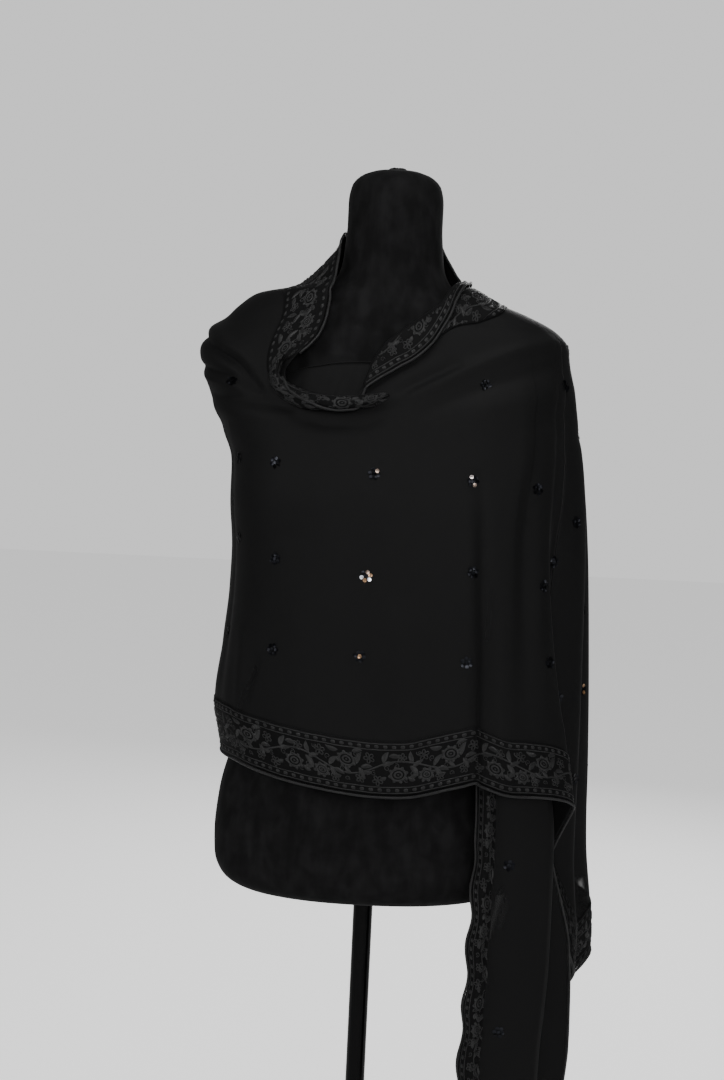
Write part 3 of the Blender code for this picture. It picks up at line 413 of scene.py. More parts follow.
# %% The hanging end
TAIL_LEVELS = (1.330, 1.200, 1.080, 0.960, 0.880, 0.760, 0.700, 0.650, 0.500)
TAIL_FOLDS = {
    # name: (x, y) in metres at the nine levels
    "left_edge": (
        (0.092, -0.0895), (0.098, -0.108), (0.100, -0.105), (0.110, -0.102),
        (0.113, -0.104), (0.111, -0.104), (0.110, -0.104), (0.108, -0.103), (0.108, -0.101)),
    "edge_ridge": (
        (0.101, -0.0880), (0.107, -0.109), (0.108, -0.108), (0.119, -0.109),
        (0.122, -0.111), (0.120, -0.111), (0.119, -0.111), (0.117, -0.110), (0.117, -0.108)),
    "edge_valley": (
        (0.110, -0.0840), (0.115, -0.105), (0.115, -0.104), (0.127, -0.101),
        (0.131, -0.102), (0.130, -0.102), (0.129, -0.102), (0.128, -0.101), (0.128, -0.099)),
    "face": (
        (0.126, -0.0780), (0.130, -0.098), (0.128, -0.101), (0.152, -0.097),
        (0.160, -0.098), (0.162, -0.097), (0.160, -0.097), (0.158, -0.097), (0.158, -0.095)),
    "right_fold": (
        (0.139, -0.0710), (0.143, -0.088), (0.142, -0.093), (0.177, -0.088),
        (0.189, -0.088), (0.191, -0.087), (0.189, -0.087), (0.186, -0.088), (0.185, -0.086)),
    "right_bend": (
        (0.144, -0.0660), (0.147, -0.082), (0.145, -0.089), (0.181, -0.082),
        (0.193, -0.082), (0.195, -0.080), (0.193, -0.080), (0.190, -0.081), (0.189, -0.079)),
    "return": (
        (0.149, -0.0620), (0.150, -0.075), (0.147, -0.084), (0.158, -0.080),
        (0.162, -0.079), (0.165, -0.077), (0.166, -0.077), (0.167, -0.077), (0.167, -0.075)),
    "return_bend": (
        (0.153, -0.0580), (0.152, -0.070), (0.149, -0.079), (0.158, -0.074),
        (0.162, -0.072), (0.165, -0.070), (0.166, -0.070), (0.167, -0.070), (0.167, -0.068)),
    "under_edge": (
        (0.160, -0.0520), (0.157, -0.062), (0.153, -0.073), (0.174, -0.070),
        (0.186, -0.067), (0.2165, -0.060), (0.2200, -0.059), (0.221, -0.058), (0.206, -0.056)),
}
TAIL_CELLS = (1, 1, 2, 2, 1, 2, 1, 3)
TAIL_SHOULDER = np.array((((83.0, 1.4337), (83.0, 1.3960)), ((58.0, 1.3980), (75.0, 1.3650))))
TAIL_ROWS = 150
TAIL_FINE = 6


def hanging_end():
    """Curves across the fold lines at each level, then curves down through the levels."""
    places = np.array(list(TAIL_FOLDS.values()))
    corner = np.concatenate([[0], np.cumsum(TAIL_CELLS)])
    across = np.interp(np.arange(corner[-1] * TAIL_FINE + 1) / TAIL_FINE, corner, np.arange(len(places)))
    share = across / across[-1]
    levels = []
    for step in np.linspace(0, 1, 4):
        left, right = TAIL_SHOULDER[0] + (TAIL_SHOULDER[1] - TAIL_SHOULDER[0]) * step
        azimuth, z = left[:, None] + (right - left)[:, None] * share
        levels.append(body_point(FORM_SECTIONS, down_at(FORM_SECTIONS, z), np.radians(azimuth), 0.009))
    for k, z in enumerate(TAIL_LEVELS):
        x, y = (curve(across, np.arange(len(places)), places[:, k, i]) for i in (0, 1))
        levels.append(np.stack([x, y, np.full(len(across), z)], axis=1))
    known = np.stack(levels)
    down = np.linspace(0, len(known) - 1, 400)
    flat = known.reshape(len(known), -1)
    order = np.repeat(np.arange(len(known))[:, None], flat.shape[1], axis=1)
    fine = curve(np.repeat(down[:, None], flat.shape[1], axis=1), order, flat).reshape(400, -1, 3)
    run = lengths_along(fine)
    body = np.linspace(0, 1, TAIL_ROWS + 1)[:, None] * (run[-1] - BORDER_WIDTH)
    end = run[-1] - BORDER_WIDTH + np.linspace(0, BORDER_WIDTH, HEM_ROWS + 1)[1:, None]
    distance = np.concatenate([body, end])
    points = np.stack([points_at(fine[:, j], distance[:, j]) for j in range(fine.shape[1])], axis=1)
    return points, corner * TAIL_FINE


tail_points, tail_corners = hanging_end()
# The free edge at the left ripples a little, less and less over its first four centimetres
ripple_share = np.exp(-lengths_along(tail_points.transpose(1, 0, 2)).T / 0.018)
ripple_depth = np.clip((0.90 - tail_points[..., 2]) / 0.06, 0, 1) * ripple_share
ripple_turn = tail_points[..., 2] * 2 * np.pi
tail_points[..., 0] += 0.0022 * np.sin(ripple_turn / 0.061 + 0.6) * ripple_depth
tail_points[..., 1] += 0.0026 * np.sin(ripple_turn / 0.087 + 2.0) * ripple_depth
tail_normals = unit(np.cross(np.gradient(tail_points, axis=0), np.gradient(tail_points, axis=1)))
print("hanging end grid:", tail_points.shape[:2], " it ends at z", round(float(tail_points[-1, 0, 2]), 3))

# %% [markdown]
# Every finish here is black, so they must part by the way they take light: crepe cloth is dull and
# lets a little light through, satin thread is glossy along its length, velvet is deep, with the sheen
# of its pale nap painted into its colour, enamel mirrors the room. Fine grain shared by the cloths
# sits in one node group, built once.

# %% Shared node group: crepe grain
def add_node(tree, kind, place=(0, 0), **settings):
    """A node with some of its settings and input values."""
    node = tree.nodes.new(kind)
    node.location = place
    inputs = settings.pop("inputs", {})
    for key, value in settings.items():
        setattr(node, key, value)
    for key, value in inputs.items():
        node.inputs[key].default_value = value
    return node


def crepe_group():
    """Two crossed sets of fine waves, bent by noise, with a slow cloudy variation beside them."""
    group = bpy.data.node_groups.new("crepe_grain", "ShaderNodeTree")
    group.interface.new_socket("Place", in_out="INPUT", socket_type="NodeSocketVector")
    group.interface.new_socket("Threads", in_out="INPUT", socket_type="NodeSocketFloat").default_value = 9000.0
    group.interface.new_socket("Height", in_out="OUTPUT", socket_type="NodeSocketFloat")
    group.interface.new_socket("Cloud", in_out="OUTPUT", socket_type="NodeSocketFloat")
    start = add_node(group, "NodeGroupInput", (-900, 0))
    end = add_node(group, "NodeGroupOutput", (500, 0))
    link = group.links.new
    parts = add_node(group, "ShaderNodeSeparateXYZ", (-700, 0))
    link(start.outputs["Place"], parts.inputs[0])
    waves = []
    for k, axis in enumerate("XY"):
        scaled = add_node(group, "ShaderNodeMath", (-520, -160 * k), operation="MULTIPLY")
        link(parts.outputs[axis], scaled.inputs[0])
        link(start.outputs["Threads"], scaled.inputs[1])
        wave = add_node(group, "ShaderNodeMath", (-360, -160 * k), operation="SINE")
        link(scaled.outputs[0], wave.inputs[0])
        waves.append(wave)
    both = add_node(group, "ShaderNodeMath", (-200, -60), operation="ADD")
    link(waves[0].outputs[0], both.inputs[0])
    link(waves[1].outputs[0], both.inputs[1])
    pebble = add_node(group, "ShaderNodeTexNoise", (-520, -420), inputs={"Scale": 300.0, "Detail": 2.0})
    link(start.outputs["Place"], pebble.inputs["Vector"])
    height = add_node(group, "ShaderNodeMath", (60, -60), operation="MULTIPLY_ADD", inputs={1: 0.25})
    link(both.outputs[0], height.inputs[0])
    link(pebble.outputs["Fac"], height.inputs[2])
    cloud = add_node(group, "ShaderNodeTexNoise", (-520, -680), inputs={"Scale": 14.0, "Detail": 3.0})
    link(start.outputs["Place"], cloud.inputs["Vector"])
    link(height.outputs[0], end.inputs["Height"])
    link(cloud.outputs["Fac"], end.inputs["Cloud"])
    return group


CREPE = crepe_group()
print("node group:", CREPE.name)

# %% Materials
def fresh_material(name):
    material = bpy.data.materials.new(name)
    material.use_nodes = True
    tree = material.node_tree
    tree.nodes.clear()
    shader = add_node(tree, "ShaderNodeBsdfPrincipled", (300, 0))
    out = add_node(tree, "ShaderNodeOutputMaterial", (600, 0))
    tree.links.new(shader.outputs["BSDF"], out.inputs["Surface"])
    return material, tree, shader


def mixed_colour(tree, factor, dark, light, place=(0, 200)):
    """A colour between two, by a factor."""
    mix = add_node(tree, "ShaderNodeMix", place, data_type="RGBA")
    mix.inputs["A"].default_value = (*dark, 1)
    mix.inputs["B"].default_value = (*light, 1)
    tree.links.new(factor, mix.inputs["Factor"])
    return mix.outputs["Result"]


def ranged(tree, value, low, high, place=(0, -200), start=0.0, stop=1.0):
    """Maps a value from start..stop to low..high."""
    node = add_node(tree, "ShaderNodeMapRange", place,
                    inputs={"From Min": start, "From Max": stop, "To Min": low, "To Max": high})
    tree.links.new(value, node.inputs["Value"])
    return node.outputs["Result"]


def bumped(tree, shader, height, strength, distance):
    bump = add_node(tree, "ShaderNodeBump", (100, -400), inputs={"Strength": strength, "Distance": distance})
    tree.links.new(height, bump.inputs["Height"])
    tree.links.new(bump.outputs["Normal"], shader.inputs["Normal"])


# Alpha of one surface where the attribute is 1. Two layers of two surfaces let about 9% through.
THIN_ALPHA = 0.45


def crepe_material(name, dark, light, alpha, rough=0.62, sheen=0.02, gloss=0.10):
    """Crepe georgette: dull, faintly pebbled, and a little see-through where the attribute says so."""
    material, tree, shader = fresh_material(name)
    where = add_node(tree, "ShaderNodeUVMap", (-700, 0), uv_map="cloth")
    grain = add_node(tree, "ShaderNodeGroup", (-450, 0), node_tree=CREPE)
    tree.links.new(where.outputs["UV"], grain.inputs["Place"])
    tree.links.new(mixed_colour(tree, grain.outputs["Cloud"], dark, light), shader.inputs["Base Color"])
    tree.links.new(ranged(tree, grain.outputs["Cloud"], rough - 0.06, rough + 0.06),
                   shader.inputs["Roughness"])
    bumped(tree, shader, grain.outputs["Height"], 0.12, 0.0003)
    shader.inputs["Sheen Weight"].default_value = sheen
    shader.inputs["Sheen Roughness"].default_value = 0.45
    shader.inputs["Specular IOR Level"].default_value = gloss
    if alpha < 1:
        thin = add_node(tree, "ShaderNodeAttribute", (-450, -520), attribute_name="sheer")
        see = ranged(tree, thin.outputs["Fac"], alpha, THIN_ALPHA, (-200, -520))
        tree.links.new(see, shader.inputs["Alpha"])
    return material


def thread_material(name, dark, light, rough):
    """Satin stitch: fine ridges across each stroke, uneven from stitch to stitch, glossier where lighter."""
    material, tree, shader = fresh_material(name)
    where = add_node(tree, "ShaderNodeUVMap", (-900, 0), uv_map="stitch")
    parts = add_node(tree, "ShaderNodeSeparateXYZ", (-720, 0))
    tree.links.new(where.outputs["UV"], parts.inputs[0])
    lay = add_node(tree, "ShaderNodeMath", (-540, 0), operation="MULTIPLY", inputs={1: 9000.0})
    tree.links.new(parts.outputs["X"], lay.inputs[0])
    ridge = add_node(tree, "ShaderNodeMath", (-380, 0), operation="SINE")
    tree.links.new(lay.outputs[0], ridge.inputs[0])
    spot = add_node(tree, "ShaderNodeTexCoord", (-900, -300))
    patch = add_node(tree, "ShaderNodeTexNoise", (-600, -300), inputs={"Scale": 260.0, "Detail": 2.0})
    tree.links.new(spot.outputs["Object"], patch.inputs["Vector"])
    shade = ranged(tree, patch.outputs["Fac"], 0.0, 1.0, (-300, -300), 0.3, 0.7)
    tree.links.new(mixed_colour(tree, shade, dark, light), shader.inputs["Base Color"])
    tree.links.new(ranged(tree, shade, rough + 0.08, rough - 0.06), shader.inputs["Roughness"])
    bumped(tree, shader, ridge.outputs[0], 0.5, 0.0002)
    shader.inputs["Sheen Weight"].default_value = 0.01
    shader.inputs["Specular IOR Level"].default_value = 0.30
    return material


def velvet_material():
    """Velvet: a deep pile, with pale brushed streaks painted into its colour as the nap's sheen."""
    material, tree, shader = fresh_material("black_velvet")
    spot = add_node(tree, "ShaderNodeTexCoord", (-1100, 0))
    nap = add_node(tree, "ShaderNodeTexNoise", (-800, 100),
                   inputs={"Scale": 48.0, "Detail": 6.0, "Distortion": 0.6})
    stretched = add_node(tree, "ShaderNodeMapping", (-950, -200), inputs={"Scale": (85.0, 85.0, 30.0)})
    brushed = add_node(tree, "ShaderNodeTexNoise", (-760, -200), inputs={"Scale": 1.0, "Detail": 3.0})
    pile = add_node(tree, "ShaderNodeTexNoise", (-800, -480), inputs={"Scale": 1500.0, "Detail": 1.0})
    tree.links.new(spot.outputs["Object"], nap.inputs["Vector"])
    tree.links.new(spot.outputs["Object"], stretched.inputs["Vector"])
    tree.links.new(stretched.outputs[0], brushed.inputs["Vector"])
    tree.links.new(spot.outputs["Object"], pile.inputs["Vector"])
    both = add_node(tree, "ShaderNodeMath", (-520, 0), operation="MULTIPLY")
    tree.links.new(nap.outputs["Fac"], both.inputs[0])
    tree.links.new(brushed.outputs["Fac"], both.inputs[1])
    # Painted sheen: pale streaks where the nap is brushed, fixed in the base colour and not made by the lights
    painted_nap_sheen = ranged(tree, both.outputs[0], 0.0, 1.0, (-340, 0), 0.16, 0.40)
    tree.links.new(mixed_colour(tree, painted_nap_sheen, (0.0052, 0.0052, 0.0053), (0.0098, 0.0098, 0.0101)),
                   shader.inputs["Base Color"])
    bumped(tree, shader, pile.outputs["Fac"], 0.25, 0.0004)
    shader.inputs["Roughness"].default_value = 0.92
    shader.inputs["Specular IOR Level"].default_value = 0.05
    shader.inputs["Sheen Weight"].default_value = 0.03
    shader.inputs["Sheen Roughness"].default_value = 0.30
    return material


def enamel_material():
    """Glossy black enamel with faint finger marks."""
    material, tree, shader = fresh_material("black_enamel")
    spot = add_node(tree, "ShaderNodeTexCoord", (-700, 0))
    marks = add_node(tree, "ShaderNodeTexNoise", (-450, 0), inputs={"Scale": 34.0, "Detail": 4.0})
    tree.links.new(spot.outputs["Object"], marks.inputs["Vector"])
    tree.links.new(ranged(tree, marks.outputs["Fac"], 0.08, 0.16), shader.inputs["Roughness"])
    tree.links.new(mixed_colour(tree, marks.outputs["Fac"], (0.0008, 0.0008, 0.0009), (0.0016, 0.0016, 0.0017)),
                   shader.inputs["Base Color"])
    shader.inputs["Specular IOR Level"].default_value = 0.08
    return material


def sequin_material():
    """Sequins: smoky mirrored discs, each with its own tint from an attribute on the mesh. The top of the ramp, bluish
    to orange to near white, is a painted glint.
    """
    material, tree, shader = fresh_material("smoky_sequin")
    tint_and_painted_glint = add_node(tree, "ShaderNodeAttribute", (-700, 0), attribute_name="tint_and_painted_glint")
    ramp = add_node(tree, "ShaderNodeValToRGB", (-450, 0))
    ramp.color_ramp.elements[0].color = (0.004, 0.004, 0.005, 1)
    ramp.color_ramp.elements[1].color = (0.85, 0.88, 0.95, 1)
    ramp.color_ramp.elements[1].position = 0.95
    # From 0.78 up the ramp paints a glint: bluish, orange and near-white mirror colours for a few discs
    for position, colour in (
            (0.60, (0.022, 0.023, 0.027, 1)), (0.78, (0.10, 0.13, 0.16, 1)), (0.88, (0.75, 0.42, 0.20, 1))):
        ramp.color_ramp.elements.new(position).color = colour
    tree.links.new(tint_and_painted_glint.outputs["Fac"], ramp.inputs["Fac"])
    tree.links.new(ramp.outputs["Color"], shader.inputs["Base Color"])
    shader.inputs["Metallic"].default_value = 1.0
    shader.inputs["Roughness"].default_value = 0.28
    return material


GEORGETTE = crepe_material("sheer_georgette", (0.0020, 0.0020, 0.0021), (0.0034, 0.0034, 0.0035), 0.997)
BAND_CLOTH = crepe_material("border_cloth", (0.0014, 0.0014, 0.0015), (0.0024, 0.0024, 0.0025), 1.0,
                            gloss=0.07)
SATIN = thread_material("satin_stitch", (0.0018, 0.0018, 0.0019), (0.0049, 0.0049, 0.0051), 0.40)
CORD = thread_material("corded_edge", (0.0024, 0.0024, 0.0025), (0.0055, 0.0055, 0.0057), 0.44)
VELVET = velvet_material()
ENAMEL = enamel_material()
SEQUIN = sequin_material()
print("materials:", [m.name for m in (GEORGETTE, BAND_CLOTH, SATIN, CORD, VELVET, ENAMEL, SEQUIN)])

# %% [markdown]
# A grid of points becomes a mesh with a UV map measured in metres, so that the grain has one scale
# on every piece. Thin cloth is then given its thickness by a Solidify modifier, because its edges
# show wherever it hangs free.

# %% Mesh builders
def mesh_piece(name, points, faces, material, uv=None, uv_name="cloth", smooth=True):
    """A mesh object at the origin. faces is an array with three or four columns."""
    mesh = bpy.data.meshes.new(name)
    faces = np.asarray(faces, np.int32)
    mesh.vertices.add(len(points))
    mesh.vertices.foreach_set("co", np.asarray(points, np.float32).ravel())
    mesh.loops.add(faces.size)
    mesh.loops.foreach_set("vertex_index", faces.ravel())
    mesh.polygons.add(len(faces))
    mesh.polygons.foreach_set("loop_start", np.arange(len(faces), dtype=np.int32) * faces.shape[1])
    mesh.update(calc_edges=True)
    if uv is not None:
        layer = mesh.uv_layers.new(name=uv_name)
        layer.data.foreach_set("uv", np.asarray(uv, np.float32)[faces.ravel()].ravel())
    mesh.validate()
    if smooth:
        mesh.shade_smooth()
    mesh.materials.append(material)
    thing = bpy.data.objects.new(name, mesh)
    bpy.context.scene.collection.objects.link(thing)
    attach(thing, "root")
    return thing


def grid_faces(rows, cols, flip=False):
    index = np.arange(rows * cols).reshape(rows, cols)
    a, b, c, d = index[:-1, :-1], index[1:, :-1], index[1:, 1:], index[:-1, 1:]
    faces = np.stack([a, b, c, d], axis=-1).reshape(-1, 4)
    return faces[:, ::-1] if flip else faces


def grid_uv(points):
    """Distance across and distance down, in metres."""
    down = lengths_along(points)
    across = lengths_along(points.transpose(1, 0, 2)).T
    return np.stack([across, down], axis=-1).reshape(-1, 2)


def flips(points, normals):
    total = np.cross(np.diff(points, axis=0)[:, :-1], np.diff(points, axis=1)[1:])
    return bool((total * normals[1:, 1:]).sum() < 0)


def area_of(points):
    """Area of a grid: half the diagonals' cross products, added up."""
    one = points[1:, 1:] - points[:-1, :-1]
    two = points[1:, :-1] - points[:-1, 1:]
    return float(np.linalg.norm(np.cross(one, two), axis=-1).sum() / 2)


def cloth_piece(name, points, normals, material, thickness, sheer=None, lift=0.0):
    """A thin sheet on a grid, its thickness centred on the grid."""
    rows, cols = points.shape[:2]
    flat = (points + normals * lift).reshape(-1, 3)
    thing = mesh_piece(name, flat, grid_faces(rows, cols, flips(points, normals)), material, grid_uv(points))
    if sheer is not None:
        mark = thing.data.attributes.new("sheer", "FLOAT", "POINT")
        mark.data.foreach_set("value", sheer.ravel().astype(np.float32))
    wall = thing.modifiers.new("thickness", "SOLIDIFY")
    wall.thickness = thickness
    wall.offset = 0.0
    print(f"{name}: {rows} x {cols} points, {area_of(points):.3f} square metres")
    return thing


def tube_piece(name, line, radius, material, sides=8):
    """A round cord: rings of points at radius around a line, with frames from its own direction."""
    along = unit(np.gradient(line, axis=0))
    side = unit(np.cross(along, (0.123, 0.456, 0.789)))
    up = np.cross(along, side)
    turn = np.arange(sides) * 2 * np.pi / sides
    rings = line[:, None] + radius * (
        np.cos(turn)[:, None] * side[:, None] + np.sin(turn)[:, None] * up[:, None])
    count = len(line)
    index = np.arange(count * sides).reshape(count, sides)
    after = np.roll(index, -1, axis=1)
    faces = np.stack([index[:-1], after[:-1], after[1:], index[1:]], axis=-1).reshape(-1, 4)
    ends = count * sides + np.arange(2)
    first = np.stack([np.full(sides, ends[0]), after[0], index[0], index[0]], axis=-1)
    last = np.stack([np.full(sides, ends[1]), index[-1], after[-1], after[-1]], axis=-1)
    run = lengths_along(line)
    uv = np.stack([np.repeat(run, sides), np.tile(turn, count)], axis=-1)
    uv = np.concatenate([uv, [[0, 0], [run[-1], 0]]])
    points = np.concatenate([rings.reshape(-1, 3), line[:1] - along[:1] * radius * 0.5,
                             line[-1:] + along[-1:] * radius * 0.5])
    caps = np.concatenate([first, last])[:, :3]
    mesh_faces = np.concatenate([faces[:, [0, 1, 2]], faces[:, [0, 2, 3]], caps])
    return mesh_piece(name, points, mesh_faces, material, uv, "stitch")


def beside(edge, inner, normals, lift, gap=0.0003, radius=0.0015):
    """A line a cord's radius and a small gap beyond an edge, and off the cloth's middle by lift."""
    out = unit(np.cross(np.gradient(edge, axis=0), normals))
    out *= np.sign(((edge - inner) * out).sum(axis=1, keepdims=True))
    return edge + out * (radius + gap) + normals * lift


print("mesh builders ready")

# %% [markdown]
# The torso is foam under black velvet. It could be sculpted, but a stack of level sections is exact
# and even, and it is the same stack that the cloth was fitted to. The neck closes over the top in a
# few small rings, and a covered button sits on it.

# %% Velvet torso and button
def closed_stack(name, rings, material):
    """Rings of points from the top down, closed by a point at each end."""
    levels, around = rings.shape[:2]
    index = np.arange(levels * around).reshape(levels, around)
    after = np.roll(index, -1, axis=1)
    sides = np.stack([index[:-1], index[1:], after[1:], after[:-1]], axis=-1).reshape(-1, 4)
    top, low = levels * around, levels * around + 1
    caps = np.concatenate([
        np.stack([index[0], after[0], np.full(around, top)], axis=-1),
        np.stack([after[-1], index[-1], np.full(around, low)], axis=-1)])
    points = np.concatenate([rings.reshape(-1, 3), rings[:1].mean(axis=1), rings[-1:].mean(axis=1)])
    faces = np.concatenate([sides[:, [0, 1, 2]], sides[:, [0, 2, 3]], caps])
    return mesh_piece(name, points, faces, material)


form_turns = np.arange(128) * 2 * np.pi / 128
form_down = np.linspace(0, distances_down(FORM_SECTIONS)[-1], 190)
torso = closed_stack("velvet_torso", body_point(FORM_SECTIONS, form_down[:, None], form_turns[None]), VELVET)
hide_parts("form_torso")

knob_low = FORM_SECTIONS[0, 0] + 0.0003
BUTTON_PROFILE = np.array((
    # radius, height over the neck
    (0.0010, 0.0040), (0.0028, 0.0046), (0.0050, 0.0053), (0.0076, 0.0052), (0.0094, 0.0042),
    (0.0104, 0.0026), (0.0104, 0.0010), (0.0098, 0.0)))


def button_rings():
    """The profile turned, with radius * (1 + gathers) where gathers are sines of 7 and 12 turns."""
    radius, height = curve(np.linspace(0, 7, 40)[:, None] * np.ones(2), np.arange(8)[:, None] * np.ones(2),
                           BUTTON_PROFILE).T
    turn = np.arange(72) * 2 * np.pi / 72
    gathers = 0.05 * np.sin(7 * turn + 0.5) + 0.03 * np.sin(12 * turn)
    wide = radius[:, None] * (1 - np.abs(gathers) * 1.2)
    high = height[:, None] * (1 - 1.5 * np.abs(gathers))
    return np.stack([wide * np.sin(turn), -wide * np.cos(turn), knob_low + high], axis=-1)


button = closed_stack("velvet_button", button_rings(), VELVET)
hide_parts("form_knob")
for node in ("stand_pole", "stand_base"):
    for place in bpy.data.objects[node].material_slots:
        place.material = ENAMEL
print("form: velvet torso, covered button, enamelled pole and base")

# %% [markdown]
# The four long stretches of georgette. Each one is a single thin sheet. Where the cloth pulls into
# a fold over nothing it lets light through, so an attribute marks each such spot with a strength.

# %% The stretches of georgette
CLOTH_WALL = 0.0006
SHEER_STREAKS = {
    # name: (path of (azimuth, height) points, width in mm, strength)
    "left_tuck": (((-47.6, 1.0488), (-50.7, 1.027), (-53.6, 0.9995)), 2.2, 0.20),
    "long_fold": (((42.1, 1.140), (42.4, 1.091)), 3.0, 0.06),
    "thrown_gap": (((92.4, 0.812), (92.9, 0.796), (93.4, 0.776)), 2.7, 1.0),
    "thrown_gap_behind": (((100.6, 0.805), (101.0, 0.790), (101.4, 0.772)), 6.0, 1.0),
    "hanging_streak": (((54.4, 0.8315), (53.0, 0.805), (51.5, 0.7775)), 2.4, 0.18),
    "hanging_streak_near": (((55.8, 0.820), (54.6, 0.792)), 1.8, 0.10),
}


def streaks_on(points, streaks):
    """Strength * exp(-(distance from the path / width) ** 2), the strongest streak at each point."""
    azimuth = np.degrees(np.arctan2(points[..., 0], -points[..., 1]))
    here = np.stack([np.radians(azimuth) * 0.15, points[..., 2]], axis=-1)
    mark = np.zeros(points.shape[:2])
    for path, width, strength in streaks.values():
        spots = np.array(path) * (np.radians(1) * 0.15, 1)
        for start, stop in zip(spots[:-1], spots[1:]):
            line = stop - start
            t = np.clip(((here - start) @ line) / (line @ line), 0, 1)
            gap = np.linalg.norm(here - start - t[..., None] * line, axis=-1)
            mark = np.maximum(mark, strength * np.exp(-(gap * 1000 / width) ** 2))
    return mark


def cut_back(points, column, toward, amount=0.0005):
    points = points.copy()
    points[:, column] += unit(points[:, toward] - points[:, column]) * amount
    return points


front_points = cut_back(wrap_points[:, :SEAM + 1], -1, -2)
front_normals = wrap_normals[:, :SEAM + 1]
thrown_points = cut_back(wrap_points[:, SEAM:], 0, 1)
thrown_normals = wrap_normals[:, SEAM:]
front = cloth_piece("front_stretch", front_points, front_normals, GEORGETTE, CLOTH_WALL,
                    streaks_on(front_points, SHEER_STREAKS))
thrown = cloth_piece("thrown_end", thrown_points, thrown_normals, GEORGETTE, CLOTH_WALL,
                     streaks_on(thrown_points, SHEER_STREAKS))
back_cloth = cloth_piece("back_stretch", back_points, back_normals, GEORGETTE, CLOTH_WALL,
                         np.zeros(back_points.shape[:2]))
tail_cloth = cloth_piece("hanging_end", tail_points, tail_normals, GEORGETTE, CLOTH_WALL,
                         streaks_on(tail_points, SHEER_STREAKS))
for piece, node in ((front, "stole_front"), (thrown, "stole_thrown_end"),
                    (back_cloth, "stole_back"), (tail_cloth, "stole_tail")):
    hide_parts(node)

# %% [markdown]
# Inside the cowl a soft fold of the layer below crosses the chest. It lies close on the velvet, and
# its top rolls over by itself, as a bias fold does.

# %% The fold inside the cowl
CHEST_FOLD = np.array(((-56.0, 1.3450), (-44.0, 1.3540), (-30.0, 1.3590), (-12.0, 1.3605), (8.0, 1.3600),
                       (30.0, 1.3560)))


def chest_fold_grid():
    """From the fold's top line down to 1.285 m on the form, pushed out 1.6 mm, rippled by two sines."""
    azimuth = np.linspace(CHEST_FOLD[0, 0], CHEST_FOLD[-1, 0], 110)
    top = curve(azimuth, CHEST_FOLD[:, 0], CHEST_FOLD[:, 1])
    down = np.linspace(0, 1, 40)[:, None]
    z = top + (1.285 - top) * down
    ripple = 0.0006 * np.sin(azimuth * 0.31 + 9 * down) + 0.0004 * np.sin(azimuth * 0.77 - 5 * down)
    turn = np.radians(np.broadcast_to(azimuth, z.shape))
    points = body_point(FORM_SECTIONS, down_at(FORM_SECTIONS, z), turn,
                        0.0016 + np.abs(ripple) * np.sin(np.pi * down))
    roll = np.linspace(0, np.pi, 8)[:-1, None]
    out = unit(points[0] * (1, 1, 0))
    radius = 0.0008
    lip = (points[0] + out * radius * (1 + np.cos(roll))[..., None]
           + radius * np.sin(roll)[..., None] * np.array((0, 0, 1)))
    return np.concatenate([lip, points])


chest_points = chest_fold_grid()
chest = cloth_piece("cowl_inner_fold", chest_points, outward_normals(chest_points), GEORGETTE, CLOTH_WALL,
                    np.zeros(chest_points.shape[:2]))
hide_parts("chest_fold")

# %% [markdown]
# The border is a band of denser cloth worked with satin stitch. The stitching could be a bump, but
# it catches the light from the side, so it is real raised thread. One repeat is laid out flat, in
# millimetres, as strokes: a path with a half width. Then the repeat is laid along each band.

# %% One repeat of the border, laid out flat
REPEAT = 105.0
BAND = 55.0


def stroke(path, half_width, height):
    """A raised ribbon: its path, two edges at half_width * profile, and a crown at height * profile."""
    path = np.asarray(path, float)
    along = unit(np.gradient(path, axis=0))
    side = np.stack([-along[:, 1], along[:, 0]], axis=1)
    wide = np.broadcast_to(half_width, len(path))[:, None]
    crown = np.broadcast_to(height, len(path))
    spots = np.stack([path - side * wide, path, path + side * wide], axis=1)
    heights = np.stack([0 * crown, crown, 0 * crown], axis=1)
    run = lengths_along(path)
    place = np.stack([np.stack([run] * 3, axis=1),
                      np.stack([-wide[:, 0], 0 * run, wide[:, 0]], axis=1)], axis=-1)
    return spots.reshape(-1, 2), heights.ravel(), place.reshape(-1, 2), grid_faces(len(path), 3, flip=True)


def leaf(x, y, angle, length, half, count=8):
    """A spear: half width goes as sin(pi * share) ** 0.8, fuller before the middle."""
    share = np.linspace(0, 1, count)
    bow = 0.10 * length * np.sin(np.pi * share)
    a = np.radians(angle)
    path = np.stack([x + share * length * np.cos(a) - bow * np.sin(a),
                     y + share * length * np.sin(a) + bow * np.cos(a)], axis=1)
    profile = np.sin(np.pi * share ** 0.85).clip(0) ** 0.8
    return stroke(path, half * np.maximum(profile, 0.04), 0.75 * np.maximum(profile, 0.05))


def ring(x, y, across, high, turn, width, count=22):
    """An oval outline: (across * cos t, high * sin t), turned."""
    t = np.linspace(0, 2 * np.pi, count)
    a = np.radians(turn)
    u, v = across * np.cos(t), high * np.sin(t)
    path = np.stack([x + u * np.cos(a) - v * np.sin(a), y + u * np.sin(a) + v * np.cos(a)], axis=1)
    return stroke(path, width, 0.6)


def tendril(x, y, angle, size, hand, count=12):
    """A curl: the radius shrinks evenly while the angle turns through one and a quarter turns."""
    share = np.linspace(0, 1, count)
    t = np.radians(angle) + hand * share * 2.5 * np.pi
    radius = size * (1 - 0.82 * share)
    start = np.array((x, y)) - size * np.array((np.cos(np.radians(angle)), np.sin(np.radians(angle))))
    path = start + np.stack([radius * np.cos(t), radius * np.sin(t)], axis=1)
    return stroke(path, 0.55 * (1 - 0.4 * share), 0.5)


def dot(x, y, size, thick=0.8):
    path = np.array(((x - size, y), (x - size * 0.6, y), (x + size * 0.6, y), (x + size, y)))
    return stroke(path, size * thick * np.array((0.45, 1.0, 1.0, 0.45)), np.array((0.1, 0.7, 0.7, 0.1)))


